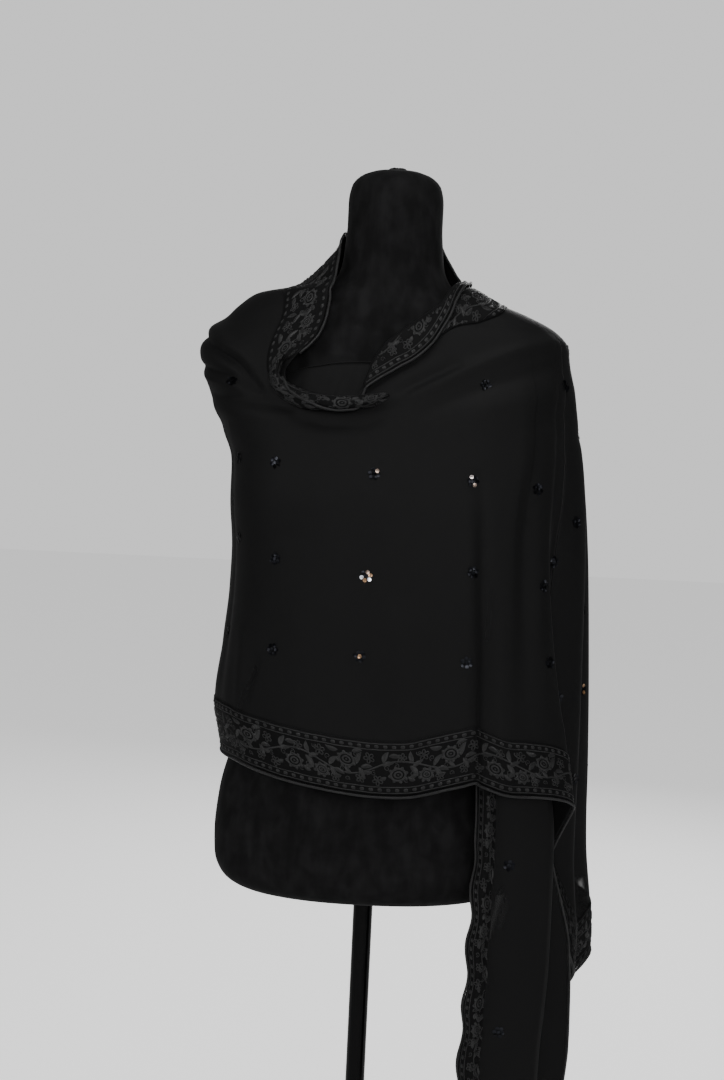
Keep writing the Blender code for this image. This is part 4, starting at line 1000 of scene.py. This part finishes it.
def flower(x, y, size, turn):
    """Five looped petals round a dot."""
    turns = np.radians(turn + 72 * np.arange(5))
    far = size * 0.58
    petals = [ring(x + far * np.cos(t), y + far * np.sin(t), size * 0.40, size * 0.27, np.degrees(t), 0.62, 9)
              for t in turns]
    return petals + [dot(x, y, 1.2)]


def rosette(x, y, across, high, turn):
    """A double ring with a dot in it, and short petals all round its outside."""
    petals = [leaf(x + across * 0.98 * np.cos(t), y + high * 0.98 * np.sin(t), np.degrees(t), 3.3, 1.8, 5)
              for t in np.arange(8) * np.pi / 4 + 0.2]
    return petals + [ring(x, y, across, high, turn, 1.15), ring(x, y, across * 0.50, high * 0.48, turn, 0.95),
                     dot(x, y, 1.1)]


# Places in the repeat, in millimetres from its start and from the corded edge
ROSETTES = ((24.0, 21.5, 7.4, 6.0, 12), (78.0, 33.5, 7.4, 6.0, -12), (52.5, 18.5, 5.8, 4.8, -20))
FLOWERS = ((51.0, 38.5, 5.6, 18), (3.0, 15.0, 5.4, 50), (101.0, 37.5, 5.6, -30), (66.0, 14.0, 4.8, 90),
           (29.0, 38.5, 4.8, 0), (91.0, 16.5, 5.0, 10))
LEAVES = (
    # along, across, angle, length, half width
    (10, 33, 62, 13, 2.7), (9, 30, 15, 12, 2.4), (36, 30, -56, 14, 2.7), (39, 28, 25, 12, 2.4),
    (40, 33, 100, 12, 2.5), (61, 24, -68, 12, 2.5), (64, 22, -20, 12, 2.4), (60, 25, 46, 14, 2.6),
    (90, 27, -70, 12, 2.6), (92, 27, 8, 12, 2.4), (88, 30, 66, 14, 2.7), (16, 40, -6, 12, 2.4),
    (72, 16, 178, 9, 2.2), (41, 15, 150, 9, 2.1), (44, 22, 200, 10, 2.2), (70, 42, 168, 13, 2.4),
    (12, 19, 200, 8, 2.0), (82, 20, 130, 9, 2.1), (103, 24, 190, 9, 2.1), (84, 42, 12, 11, 2.2))
TENDRILS = (
    # along, across, angle, size, hand
    (16, 30, 40, 3.4, 1), (33, 14, -60, 3.0, -1), (44, 43, 150, 2.8, 1), (58, 31, 250, 3.0, -1),
    (64, 33, 80, 3.0, 1), (90, 42, 30, 2.8, -1), (98, 20, -40, 3.0, 1), (22, 33, 110, 2.8, -1),
    (76, 24, 10, 2.8, 1), (1, 25, 60, 3.0, 1), (40, 20, 300, 2.6, -1), (80, 13, 330, 2.6, 1))


def border_repeat():
    """A ladder of dots by both edges, a vine on a sine path between them, and flowers and leaves on it."""
    strokes = [dot(4.4 + 8.75 * k, row, 2.2, 0.75) for k in range(12) for row in (5.6, BAND - 5.6)]
    for row in (2.6, 8.6, BAND - 8.6, BAND - 2.6):
        rail = np.linspace(0, REPEAT, 16)
        strokes.append(stroke(np.stack([rail, row + 0.2 * np.sin(rail * 0.7)], axis=1), 0.55, 0.4))
    u = np.linspace(0, REPEAT, 34)
    strokes.append(stroke(np.stack([u, 27.5 + 7.5 * np.sin(2 * np.pi * u / REPEAT)], axis=1), 0.85, 0.6))
    for row in ROSETTES:
        strokes += rosette(*row)
    for row in FLOWERS:
        strokes += flower(*row)
    strokes += [leaf(*row) for row in LEAVES]
    strokes += [tendril(*row) for row in TENDRILS]
    spots, heights, places, faces, start = [], [], [], [], 0
    for spot, height, place, face in strokes:
        spots.append(spot)
        heights.append(height)
        places.append(place)
        faces.append(face + start)
        start += len(spot)
    owner = np.concatenate([np.full(len(spot), k) for k, (spot, *_) in enumerate(strokes)])
    return (np.concatenate(spots) / 1000, np.concatenate(heights) / 1000, np.concatenate(places) / 1000,
            np.concatenate(faces), owner)


REPEAT_SPOTS, REPEAT_HEIGHTS, REPEAT_PLACES, REPEAT_FACES, REPEAT_OWNER = border_repeat()
print("strokes in a repeat:", REPEAT_OWNER[-1] + 1, " faces:", len(REPEAT_FACES))

# %% [markdown]
# A band is a grid of points whose rows run across it. Laying the repeat on it means finding, for
# each point of each stroke, its column from the distance along and its row from the distance
# across, then moving out along the cloth's normal by the height of the thread.

# %% Laying stitches on a band
THREAD_LIFT = 0.00012


def read_grid(grid, row, column):
    """Bilinear reading of a grid of vectors at fractional rows and columns."""
    rows, cols = grid.shape[:2]
    row, column = np.clip(row, 0, rows - 1.001), np.clip(column, 0, cols - 1.001)
    i, j = row.astype(int), column.astype(int)
    s, t = (row - i)[:, None], (column - j)[:, None]
    return ((1 - s) * (1 - t) * grid[i, j] + s * (1 - t) * grid[i + 1, j]
            + (1 - s) * t * grid[i, j + 1] + s * t * grid[i + 1, j + 1])


def stitches(name, points, normals, near, far, lift, start=0.0, trim=False):
    """Strokes on a band. near and far are the distances from the corded edge of the first and last row.
    With trim, a stroke that crosses a fold is cut there. Otherwise the whole stroke is left out."""
    rows, cols = points.shape[:2]
    near, far = np.broadcast_to(near, cols), np.broadcast_to(far, cols)
    run = lengths_along(points.mean(axis=0))
    turns = int(np.ceil((run[-1] + start) / (REPEAT / 1000)))
    count = len(REPEAT_SPOTS)
    u = (REPEAT_SPOTS[None, :, 0] + np.arange(turns)[:, None] * REPEAT / 1000).ravel() - start
    v = np.tile(REPEAT_SPOTS[:, 1], turns)
    column = np.interp(u, run, np.arange(cols))
    low, high = np.interp(column, np.arange(cols), near), np.interp(column, np.arange(cols), far)
    row = (v - low) / np.maximum(high - low, 1e-6) * (rows - 1)
    owner = (REPEAT_OWNER[None] + np.arange(turns)[:, None] * (REPEAT_OWNER[-1] + 1)).ravel()
    outside = (u < 0.001) | (u > run[-1] - 0.001) | (v < low + 0.0008) | (v > high - 0.0008)
    lost = np.zeros(owner[-1] + 1, bool)
    lost[owner[outside]] = True
    faces = (REPEAT_FACES[None] + np.arange(turns)[:, None, None] * count).reshape(-1, 4)
    faces = faces[~outside[faces].any(axis=1)] if trim else faces[~lost[owner[faces[:, 0]]]]
    used, faces = np.unique(faces, return_inverse=True)
    faces = faces.reshape(-1, 4)
    place = read_grid(points, row[used], column[used])
    out = unit(read_grid(normals, row[used], column[used]))
    height = np.tile(REPEAT_HEIGHTS, turns)[used] + lift + THREAD_LIFT
    spots = place + out * height[:, None]
    first = faces[:200]
    facing = np.cross(spots[first[:, 2]] - spots[first[:, 0]], spots[first[:, 3]] - spots[first[:, 1]])
    if (facing * out[first[:, 0]]).sum() < 0:
        faces = faces[:, ::-1]
    thing = mesh_piece(name, spots, faces, SATIN, np.tile(REPEAT_PLACES, (turns, 1))[used], "stitch")
    print(f"{name}: {len(faces)} stitch faces over {run[-1]:.2f} m")
    return thing


def band_piece(name, node, points, normals, near=0.0, far=BORDER_WIDTH, lift=0.0009, start=0.0,
               trim=False):
    """The denser cloth of a border, just proud of the stole, and the stitches on it."""
    band = cloth_piece(name, points, normals, BAND_CLOTH, 0.0005, lift=lift)
    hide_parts(node)
    return [band, stitches(name + "_stitches", points, normals, near, far, lift + 0.00025, start, trim)]


def cord_piece(name, node, line):
    cord = tube_piece(name, line, 0.0015, CORD)
    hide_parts(node)
    return cord


print("stitches ready")

# %% [markdown]
# Now every border and every corded edge is laid on its own stretch of cloth. The rows of the grid
# run from the neck edge to the hem, so a hem band takes the last rows, turned about.

# %% Borders and corded edges of the wrap
HALF = 0.0007
OFF = HALF + 0.00015
column = wrap["column"]
hook, foot, apex, side = (column[k] for k in ("hook", "lapel_foot", "lapel_apex", "edge_line"))
hem = slice(-HEM_ROWS - 1, None)
neck = slice(0, NECK_ROWS + 1)



def tapered(first, full):
    """The neck border below the lapel's fold. It narrows to nothing as more of it is turned out."""
    columns = np.arange(first, SEAM + 1)
    turned = wrap["turn"][columns]
    grown = np.clip((columns - first) / (full - first), 0, 1)
    grown = grown ** 2 * (3 - 2 * grown)
    low = np.maximum(turned + 0.0015, 0.0) * (1 - grown) + wrap["zone"][columns] * grown
    share = np.linspace(0, 1, NECK_ROWS + 1)[:, None]
    row = (turned * 0.8 + (low - turned * 0.8) * share) / wrap["zone"][columns] * NECK_ROWS
    place = np.broadcast_to(columns, row.shape).astype(float)
    points, normals = (read_grid(grid, row.ravel(), place.ravel()).reshape(*row.shape, 3)
                       for grid in (front_points, front_normals))
    return points, unit(normals), turned * 0.8, low


front_trim = band_piece("front_hem_border_cloth", "front_hem_border",
                        front_points[hem][::-1], front_normals[hem][::-1])
front_trim.append(cord_piece("front_hem_cord", "front_hem_piping",
                             beside(front_points[-1], front_points[-2], front_normals[-1], OFF)))
front_trim += band_piece("collar_border_cloth", "collar_border", front_points[neck, :hook + 1],
                         front_normals[neck, :hook + 1], start=0.03)
front_trim.append(cord_piece("collar_cord", "collar_piping",
                             beside(front_points[0], front_points[1], front_normals[0], OFF)[:hook + 1]))
lower_band, lower_normals, turned, low = tapered(column["lapel_wide"], column["dip"])
front_trim += band_piece("shoulder_border_cloth", "shoulder_border", lower_band, lower_normals,
                         turned, low, start=0.02, trim=True)

edge = side - SEAM
thrown_trim = band_piece("thrown_hem_border_cloth", "thrown_hem_border",
                         thrown_points[hem, :edge + 1][::-1], thrown_normals[hem, :edge + 1][::-1], start=0.06)
across = lengths_along(thrown_points[:, edge:][:, ::-1].transpose(1, 0, 2))[-1].mean()
edge_points = cut_back(thrown_points[:, edge:], 0, 1)
thrown_trim += band_piece("thrown_edge_border_cloth", "thrown_edge_border",
                          edge_points[:, ::-1].transpose(1, 0, 2), thrown_normals[:, edge:][:, ::-1].transpose(1, 0, 2),
                          0.0, across, start=0.01)
thrown_trim += band_piece("thrown_neck_border_cloth", "thrown_neck_border", thrown_points[neck, :edge + 1],
                          thrown_normals[neck, :edge + 1], 0.004, start=0.05, trim=True)
thrown_trim.append(cord_piece("thrown_hem_cord", "thrown_hem_piping",
                              beside(thrown_points[-1], thrown_points[-2], thrown_normals[-1], OFF, 0.0009)))
thrown_trim.append(cord_piece("thrown_edge_cord", "thrown_edge_piping",
                              beside(thrown_points[:-1, -1], thrown_points[:-1, -2], thrown_normals[:-1, -1], OFF)))
print("wrap trimmed:", len(front_trim) + len(thrown_trim), "pieces")

# %% [markdown]
# At the right of the chest the top border turns outwards like a lapel. It is one strip: it starts
# at the neck edge, rounds a soft fold a few millimetres deep, and comes down over the outside to
# its corded edge.

# %% The turned-out lapel
LAPEL_OFF = 0.0037


def lapel_grid(cloth, first, last):
    """A half circle over the neck edge, then the cloth's own line at LAPEL_OFF outside it, a little wavy."""
    lines = cloth["fine"][:, first:last + 1]
    turn = cloth["turn"][first:last + 1]
    share = np.linspace(0, 1, 17)[:, None]
    down = np.stack([points_at(lines[:, j], share[:, 0] * turn[j]) for j in range(lines.shape[1])], axis=1)
    normals = outward_normals(down)
    up = unit(down[0] - down[1])
    bend = np.linspace(0, np.pi, 11)[:-1, None, None]
    radius = LAPEL_OFF / 2
    fold = down[0] + normals[0] * radius * (1 - np.cos(bend)) + up * radius * np.sin(bend)
    wave = 0.0003 * np.sin(np.arange(lines.shape[1]) * 0.37) * share
    flap = down + normals * (LAPEL_OFF + wave)[..., None]
    points = np.concatenate([fold, flap])
    return points, len(fold)


lapel_points, lapel_fold = lapel_grid(wrap, foot, wrap_points.shape[1] - 1)
lapel_normals = unit(np.cross(np.gradient(lapel_points, axis=0), np.gradient(lapel_points, axis=1)))
if (lapel_normals[lapel_fold + 4:] * lapel_points[lapel_fold + 4:] * (1, 1, 0)).sum() < 0:
    lapel_normals = -lapel_normals
lapel = cloth_piece("lapel", lapel_points, lapel_normals, BAND_CLOTH, 0.0006)
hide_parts("lapel_border")
flap = lapel_points[lapel_fold:][::-1]
flap_normals = lapel_normals[lapel_fold:][::-1]
lapel_trim = [lapel, stitches("lapel_stitches", flap, flap_normals, 0.0, wrap["turn"][foot:], 0.0003, 0.045, True),
              cord_piece("lapel_cord", "lapel_piping",
                         beside(lapel_points[-1], lapel_points[-2], lapel_normals[-1], 0.0011))]

# %% Borders and corded edges of the back
end = back["column"]["blade_hollow"] + CELLS_BETWEEN
back_trim = band_piece("back_hem_border_cloth", "back_hem_border", back_points[hem, :end][::-1],
                       back_normals[hem, :end][::-1], start=0.08)
back_trim += band_piece("back_neck_border_cloth", "back_neck_border", back_points[neck],
                        back_normals[neck], start=0.04)
back_trim.append(cord_piece("back_hem_cord", "back_hem_piping",
                            beside(back_points[-1], back_points[-2], back_normals[-1], OFF)[:end]))
back_trim.append(cord_piece("back_neck_cord", "back_neck_piping",
                            beside(back_points[0], back_points[1], back_normals[0], OFF)))

# %% Borders and corded edges of the hanging end
left_end, right_start = tail_corners[2], tail_corners[-2]
tail_body = slice(0, -HEM_ROWS)
left_band = tail_points[tail_body, :left_end + 1].transpose(1, 0, 2)
tail_width = float(lengths_along(left_band)[-1].mean())
tail_trim = band_piece("tail_left_border_cloth", "tail_left_border", left_band,
                       tail_normals[tail_body, :left_end + 1].transpose(1, 0, 2), 0.0, max(tail_width, 0.03), trim=True)
right_band = tail_points[tail_body, right_start:][:, ::-1].transpose(1, 0, 2)
tail_trim += band_piece("tail_right_border_cloth", "tail_right_border", right_band,
                        -tail_normals[tail_body, right_start:][:, ::-1].transpose(1, 0, 2), 0.0, BORDER_WIDTH)
below = tail_points[-HEM_ROWS - 1:].copy()
below[0] += unit(below[1] - below[0]) * 0.0005
tail_trim += band_piece("tail_end_border_cloth", "tail_end_border", below[::-1],
                        tail_normals[-HEM_ROWS - 1:][::-1])
tail_trim.append(cord_piece("tail_left_cord", "tail_left_piping",
                            beside(tail_points[:, 0], tail_points[:, 1], tail_normals[:, 0], OFF)))
tail_trim.append(cord_piece("tail_right_cord", "tail_right_piping",
                            beside(tail_points[:, -1], tail_points[:, -2], -tail_normals[:, -1], OFF)))
tail_trim.append(cord_piece("tail_end_cord", "tail_end_piping",
                            beside(tail_points[-1], tail_points[-2], tail_normals[-1], OFF)))
print("back and hanging end trimmed:", len(back_trim) + len(tail_trim), "pieces")

# %% [markdown]
# Along the bottom of the cowl the border bunches into a twisted roll. Its cross section is a closed
# loop with several folds in it, and the whole loop turns as it runs along, so the folds show as
# slanting creases. The same stitches lie on it.

# %% The crumpled roll
ROLL_PATH = np.array([
    # az     z      radius
    (-49.0, 1.3640, 0.0034),
    (-49.6, 1.3560, 0.0052),
    (-49.4, 1.3440, 0.0064),
    (-46.0, 1.3320, 0.0070),
    (-40.0, 1.3235, 0.0075),
    (-32.0, 1.3190, 0.0078),
    (-23.0, 1.3180, 0.0076),
    (-14.0, 1.3195, 0.0068),
    (-6.5, 1.3225, 0.0056),
    (-1.5, 1.3262, 0.0034),
    (1.0, 1.3285, 0.0014),
])


def roll_rings():
    """Radius * (1 + 0.16 cos(2t + twist) + smaller folds of order 3, 5 and 7, each drifting on its own)."""
    rows = np.arange(len(ROLL_PATH))
    at = np.linspace(0, rows[-1], 220)
    azimuth, z, radius = (curve(at, rows, ROLL_PATH[:, k]) for k in range(3))
    middle = body_point(WRAP_SECTIONS, down_at(WRAP_SECTIONS, z), np.radians(azimuth), 0.0100)
    along = unit(np.gradient(middle, axis=0))
    out = unit(middle * (1, 1, 0))
    out = unit(out - along * (out * along).sum(axis=1, keepdims=True))
    up = np.cross(along, out)
    t = np.arange(56) * 2 * np.pi / 56
    twist = np.linspace(0, 5.0, len(at))[:, None] * 2
    s = np.linspace(0, 1, len(at))[:, None]
    folds = (0.16 * np.cos(2 * t + twist) + 0.085 * np.cos(3 * t + 1.4 * twist + 1.0)
             + 0.075 * np.abs(np.sin(2.5 * t + 0.9 * twist + 3 * np.sin(9 * s))) - 0.04
             + 0.030 * np.cos(7 * t + 2.3 * twist + 4 * np.sin(13 * s)))
    size = radius[:, None] * (0.97 + folds)
    rings = middle[:, None] + out[:, None] * (np.cos(t) * size)[..., None] * 0.85 + up[:, None] * (
        np.sin(t) * size)[..., None]
    return rings, middle


roll_grid, roll_middle = roll_rings()
roll = closed_stack("cowl_roll_cloth", roll_grid, BAND_CLOTH)
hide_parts("cowl_roll")
shown = np.concatenate([roll_grid[:, -20:], roll_grid[:, :21]], axis=1).transpose(1, 0, 2)
shown_out = unit(shown - roll_middle)
roll_stitches = stitches("cowl_roll_stitches", shown, shown_out, 0.001, 0.042, 0.0, 0.02, True)
# The corded edge leaves the lapel, runs back along the top of the roll and winds round it
CORD_ON_ROLL = np.array((
    # share of the roll's length, angle round it in degrees from straight out
    (0.700, 64.0), (0.66, 60.0), (0.61, 52.0), (0.56, 38.0), (0.50, 16.0), (0.44, -10.0), (0.38, -40.0),
    (0.32, -75.0), (0.27, -105.0)))


def cord_round_roll(first):
    """A smooth curve from a first point through points read off the roll's surface, 1.1 mm out."""
    rings, around = roll_grid.shape[:2]
    row = np.round(CORD_ON_ROLL[:, 0] * (rings - 1)).astype(int)
    spot = np.round(CORD_ON_ROLL[:, 1] / 360 * around).astype(int) % around
    places = roll_grid[row, spot]
    places = places + unit(places - roll_middle[row]) * 0.0011
    knots = np.concatenate([first[None], places])
    at = np.linspace(0, len(knots) - 1, 90)
    return curve(np.repeat(at[:, None], 3, axis=1), np.repeat(np.arange(len(knots))[:, None], 3, axis=1), knots)


lapel_edge = beside(lapel_points[-1], lapel_points[-2], lapel_normals[-1], 0.0011)
roll_cord = tube_piece("cowl_roll_cord", cord_round_roll(lapel_edge[0]), 0.0014, CORD)
front_trim += [roll, roll_stitches, roll_cord]

# %% [markdown]
# Small flowers of sequins are scattered over the open ground, on a staggered grid. Each flower is
# one sequin with six round it. Each is a shallow dish, tilted a little on its own, and on a few
# flowers some discs carry a painted glint, a mirror colour near white or orange.

# %% Scattered sequin flowers
# azimuth, height, and 1 where some discs of the flower get a painted glint
FRONT_FLOWERS = (
    (-66.1, 1.337, 0), (47.6, 1.343, 0), (77.7, 1.346, 0), (-63.9, 1.260, 0), (-44.5, 1.257, 0),
    (-4.0, 1.250, 1), (35.5, 1.247, 1), (57.4, 1.242, 0), (-70.6, 1.213, 0), (-62.5, 1.177, 0),
    (-41.9, 1.1625, 0), (-5.3, 1.151, 1), (35.6, 1.157, 0), (58.7, 1.145, 0), (68.8, 1.1685, 0),
    (-69.5, 1.0785, 0), (-41.3, 1.071, 0), (-6.5, 1.068, 1), (34.9, 1.067, 0), (60.7, 1.066, 0),
    (70.2, 1.082, 0), (80.0, 1.017, 1), (76.9, 0.942, 0), (95.1, 0.919, 0))
dice = np.random.default_rng(7)


def flowers_at(name, places, normals, ups, painted_glint_flowers, lift=0.0006):
    """Seven dished discs for each flower: one in the middle and six at 60 degrees, 3.5 mm out."""
    count = len(places)
    right = unit(np.cross(ups, normals))
    ups = np.cross(normals, right)
    turn = np.concatenate([[0], np.arange(6) * np.pi / 3])[None] + dice.uniform(0, 1, (count, 1))
    far = np.where(np.arange(7) == 0, 0, 0.0043)[None] * dice.uniform(0.92, 1.08, (count, 7))
    middle = (places[:, None] + (np.cos(turn) * far)[..., None] * right[:, None]
              + (np.sin(turn) * far)[..., None] * ups[:, None] + normals[:, None] * lift)
    tilt = dice.normal(0, 0.16, (count, 7, 2))
    facing = unit(normals[:, None] + tilt[..., :1] * right[:, None] + tilt[..., 1:] * ups[:, None])
    first = unit(np.cross(ups[:, None], facing))
    second = np.cross(facing, first)
    sides = 10
    t = np.arange(sides) * 2 * np.pi / sides
    radius = 0.0021
    rim = (middle[..., None, :] + radius * (np.cos(t)[:, None] * first[..., None, :]
                                            + np.sin(t)[:, None] * second[..., None, :])
           + facing[..., None, :] * 0.00035)
    points = np.concatenate([rim.reshape(-1, 3), middle.reshape(-1, 3)])
    discs = count * 7
    index = np.arange(discs * sides).reshape(discs, sides)
    hub = discs * sides + np.arange(discs)
    faces = np.stack([index, np.roll(index, -1, axis=1), np.repeat(hub[:, None], sides, axis=1)], axis=-1)
    thing = mesh_piece(name, points, faces.reshape(-1, 3), SEQUIN, smooth=False)
    level = dice.uniform(0.05, 0.60, (count, 7))
    # On the marked flowers about a quarter of the discs get a painted glint: a tint high on the ramp
    painted_glint = (dice.uniform(0, 1, (count, 7)) < 0.26) & (np.asarray(painted_glint_flowers)[:, None] > 0)
    level = np.where(painted_glint, dice.uniform(0.80, 1.0, (count, 7)), level)
    tint_and_painted_glint = np.concatenate([np.repeat(level.ravel(), sides), level.ravel()]).clip(0, 1)
    thing.data.attributes.new("tint_and_painted_glint", "FLOAT", "POINT").data.foreach_set("value", tint_and_painted_glint.astype(np.float32))
    print(f"{name}: {count} flowers, {discs} sequins")
    return thing


def nearest_on(points, normals, azimuth, z):
    """The grid point nearest to each azimuth and height, with its normal and the upward direction."""
    here = np.degrees(np.arctan2(points[..., 0], -points[..., 1]))
    places, outs, ups = [], [], []
    for a, h in zip(azimuth, z):
        turn = (here - a + 180) % 360 - 180
        gap = np.hypot(np.radians(turn) * 0.15, points[..., 2] - h)
        i, j = np.unravel_index(np.argmin(gap), gap.shape)
        places.append(points[i, j])
        outs.append(normals[i, j])
        ups.append(unit(points[max(i - 1, 0), j] - points[min(i + 1, len(points) - 1), j]))
    return np.array(places), np.array(outs), np.array(ups)


def staggered(points, normals, first_row, across=0.105, down=0.090, margin=0.028):
    """Grid places every 105 mm across and 90 mm down, each second row moved half a step."""
    rows, cols = points.shape[:2]
    deep = lengths_along(points)
    wide = lengths_along(points.transpose(1, 0, 2)).T
    picks = []
    for k, distance in enumerate(np.arange(first_row, deep[-1].max() - 0.075, down)):
        row = np.clip(np.array([np.searchsorted(deep[:, j], distance) for j in range(cols)]), 1, rows - 2)
        line = wide[row, np.arange(cols)]
        for spot in np.arange(margin + (across / 2 if k % 2 else 0), line[-1] - margin, across):
            j = int(np.searchsorted(line, spot))
            if deep[-1, j] - 0.07 > distance:
                picks.append((row[j], j))
    i, j = np.array(picks).T
    return points[i, j], normals[i, j], unit(points[i - 1, j] - points[i + 1, j])


azimuths, heights, painted_glint_flags = np.array(FRONT_FLOWERS).T
front_flowers = flowers_at("front_sequins", *nearest_on(front_points, front_normals, azimuths[:-1], heights[:-1]),
                           painted_glint_flags[:-1])
# Every fifth flower on the thrown end and on the back gets painted glints
spots = staggered(thrown_points[:, :edge], thrown_normals[:, :edge], 0.13)
thrown_flowers = flowers_at("thrown_sequins", *spots, np.arange(len(spots[0])) % 5 == 0)
spots = staggered(back_points[:, :end], back_normals[:, :end], 0.12)
back_flowers = flowers_at("back_sequins", *spots, np.arange(len(spots[0])) % 5 == 2)
tail_face = slice(left_end + 2, tail_corners[4] - 1)
spots = staggered(tail_points[:, tail_face], tail_normals[:, tail_face], 0.42, margin=0.012)
tail_flowers = flowers_at("hanging_end_sequins", *spots, np.zeros(len(spots[0])))

# %% [markdown]
# The stole is one length, 0.58 m wide, so each stretch takes a share of that length.

# %% [markdown]
# The object stands in a plain bright studio: a pale floor that runs far back, soft light from all
# round, a large soft light at each side, one above, and weaker ones in front and behind.

# %% Floor, light and camera
# The camera sees the world and the floor brighter than they light the object, as a lit backdrop is.
WORLD_SEEN = 0.9
WORLD_LIGHT = 0.11
FLOOR_SEEN = 0.72


def stage_floor():
    """One large flat square, far wider than the view."""
    size = 12.0
    corners = np.array(((-size, -size, 0), (size, -size, 0), (size, size, 0), (-size, size, 0)), float)
    mesh = bpy.data.meshes.new("floor")
    mesh.from_pydata(corners.tolist(), [], [(0, 1, 2, 3)])
    floor = bpy.data.objects.new("floor", mesh)
    bpy.context.scene.collection.objects.link(floor)
    material, tree, shader = fresh_material("pale_floor")
    spot = add_node(tree, "ShaderNodeTexCoord", (-700, 0))
    cloud = add_node(tree, "ShaderNodeTexNoise", (-450, 0), inputs={"Scale": 0.8, "Detail": 2.0})
    tree.links.new(spot.outputs["Object"], cloud.inputs["Vector"])
    tree.links.new(mixed_colour(tree, cloud.outputs["Fac"], (0.92, 0.92, 0.92), (0.95, 0.95, 0.95)),
                   shader.inputs["Base Color"])
    ray = add_node(tree, "ShaderNodeLightPath", (-450, -400))
    shader.inputs["Emission Color"].default_value = (1, 1, 1, 1)
    tree.links.new(ranged(tree, ray.outputs["Is Camera Ray"], 0.0, FLOOR_SEEN),
                   shader.inputs["Emission Strength"])
    shader.inputs["Roughness"].default_value = 0.9
    floor.data.materials.append(material)


def soft_light(name, place, target, size, power):
    light = bpy.data.lights.new(name, "AREA")
    light.shape = "RECTANGLE"
    light.size, light.size_y = size
    light.energy = power
    lamp = bpy.data.objects.new(name, light)
    aim = np.array(target, float) - np.array(place, float)
    lamp.location = place
    lamp.rotation_mode = "QUATERNION"
    lamp.rotation_quaternion = mathutils.Vector(aim).to_track_quat("-Z", "Y")
    bpy.context.scene.collection.objects.link(lamp)


stage_floor()
soft_light("left_softbox", (-2.2, -1.8, 2.2), (0, 0, 1.15), (1.1, 1.5), 40)
soft_light("right_softbox", (2.3, -1.8, 1.9), (0, 0, 1.0), (0.6, 1.6), 20)
soft_light("top_softbox", (0.3, -0.7, 3.3), (0, 0, 1.15), (1.6, 1.2), 32)
soft_light("front_fill", (0.2, -3.0, 1.7), (0, 0, 1.15), (1.6, 1.2), 46)
soft_light("back_softbox", (0.6, 3.2, 2.3), (0, 0, 1.1), (2.0, 1.6), 60)


def studio_world():
    """A white surround. The camera sees it brighter than the cloth does, as a lit backdrop is."""
    world = bpy.data.worlds.new("studio")
    bpy.context.scene.world = world
    world.use_nodes = True
    tree = world.node_tree
    around = tree.nodes["Background"]
    ray = add_node(tree, "ShaderNodeLightPath", (-700, 0))
    tree.links.new(ranged(tree, ray.outputs["Is Camera Ray"], WORLD_LIGHT, WORLD_SEEN), around.inputs["Strength"])
    around.inputs["Color"].default_value = (1.0, 1.0, 1.0, 1)


studio_world()


def camera():
    """Looks along yaw -0.7 and 4.475 degrees down from 1.6 m in front, rolled by 2.658 degrees."""
    yaw, pitch, roll = np.radians((-0.700, 4.475, 2.658))
    forward = np.array((np.sin(yaw) * np.cos(pitch), np.cos(yaw) * np.cos(pitch), -np.sin(pitch)))
    right = np.array((np.cos(yaw), -np.sin(yaw), 0.0))
    up = np.cross(right, forward)
    right, up = np.cos(roll) * right + np.sin(roll) * up, -np.sin(roll) * right + np.cos(roll) * up
    matrix = np.eye(4)
    matrix[:3, 0], matrix[:3, 1], matrix[:3, 2], matrix[:3, 3] = right, up, -forward, (0.0, -1.60, 1.30)
    data = bpy.data.cameras.new("camera")
    data.sensor_fit, data.sensor_width, data.lens = "HORIZONTAL", 36.0, 36 * 1500 / 724
    eye = bpy.data.objects.new("camera", data)
    bpy.context.scene.collection.objects.link(eye)
    eye.matrix_world = mathutils.Matrix(matrix.tolist())
    bpy.context.scene.camera = eye


camera()
print("camera, floor and lights placed")
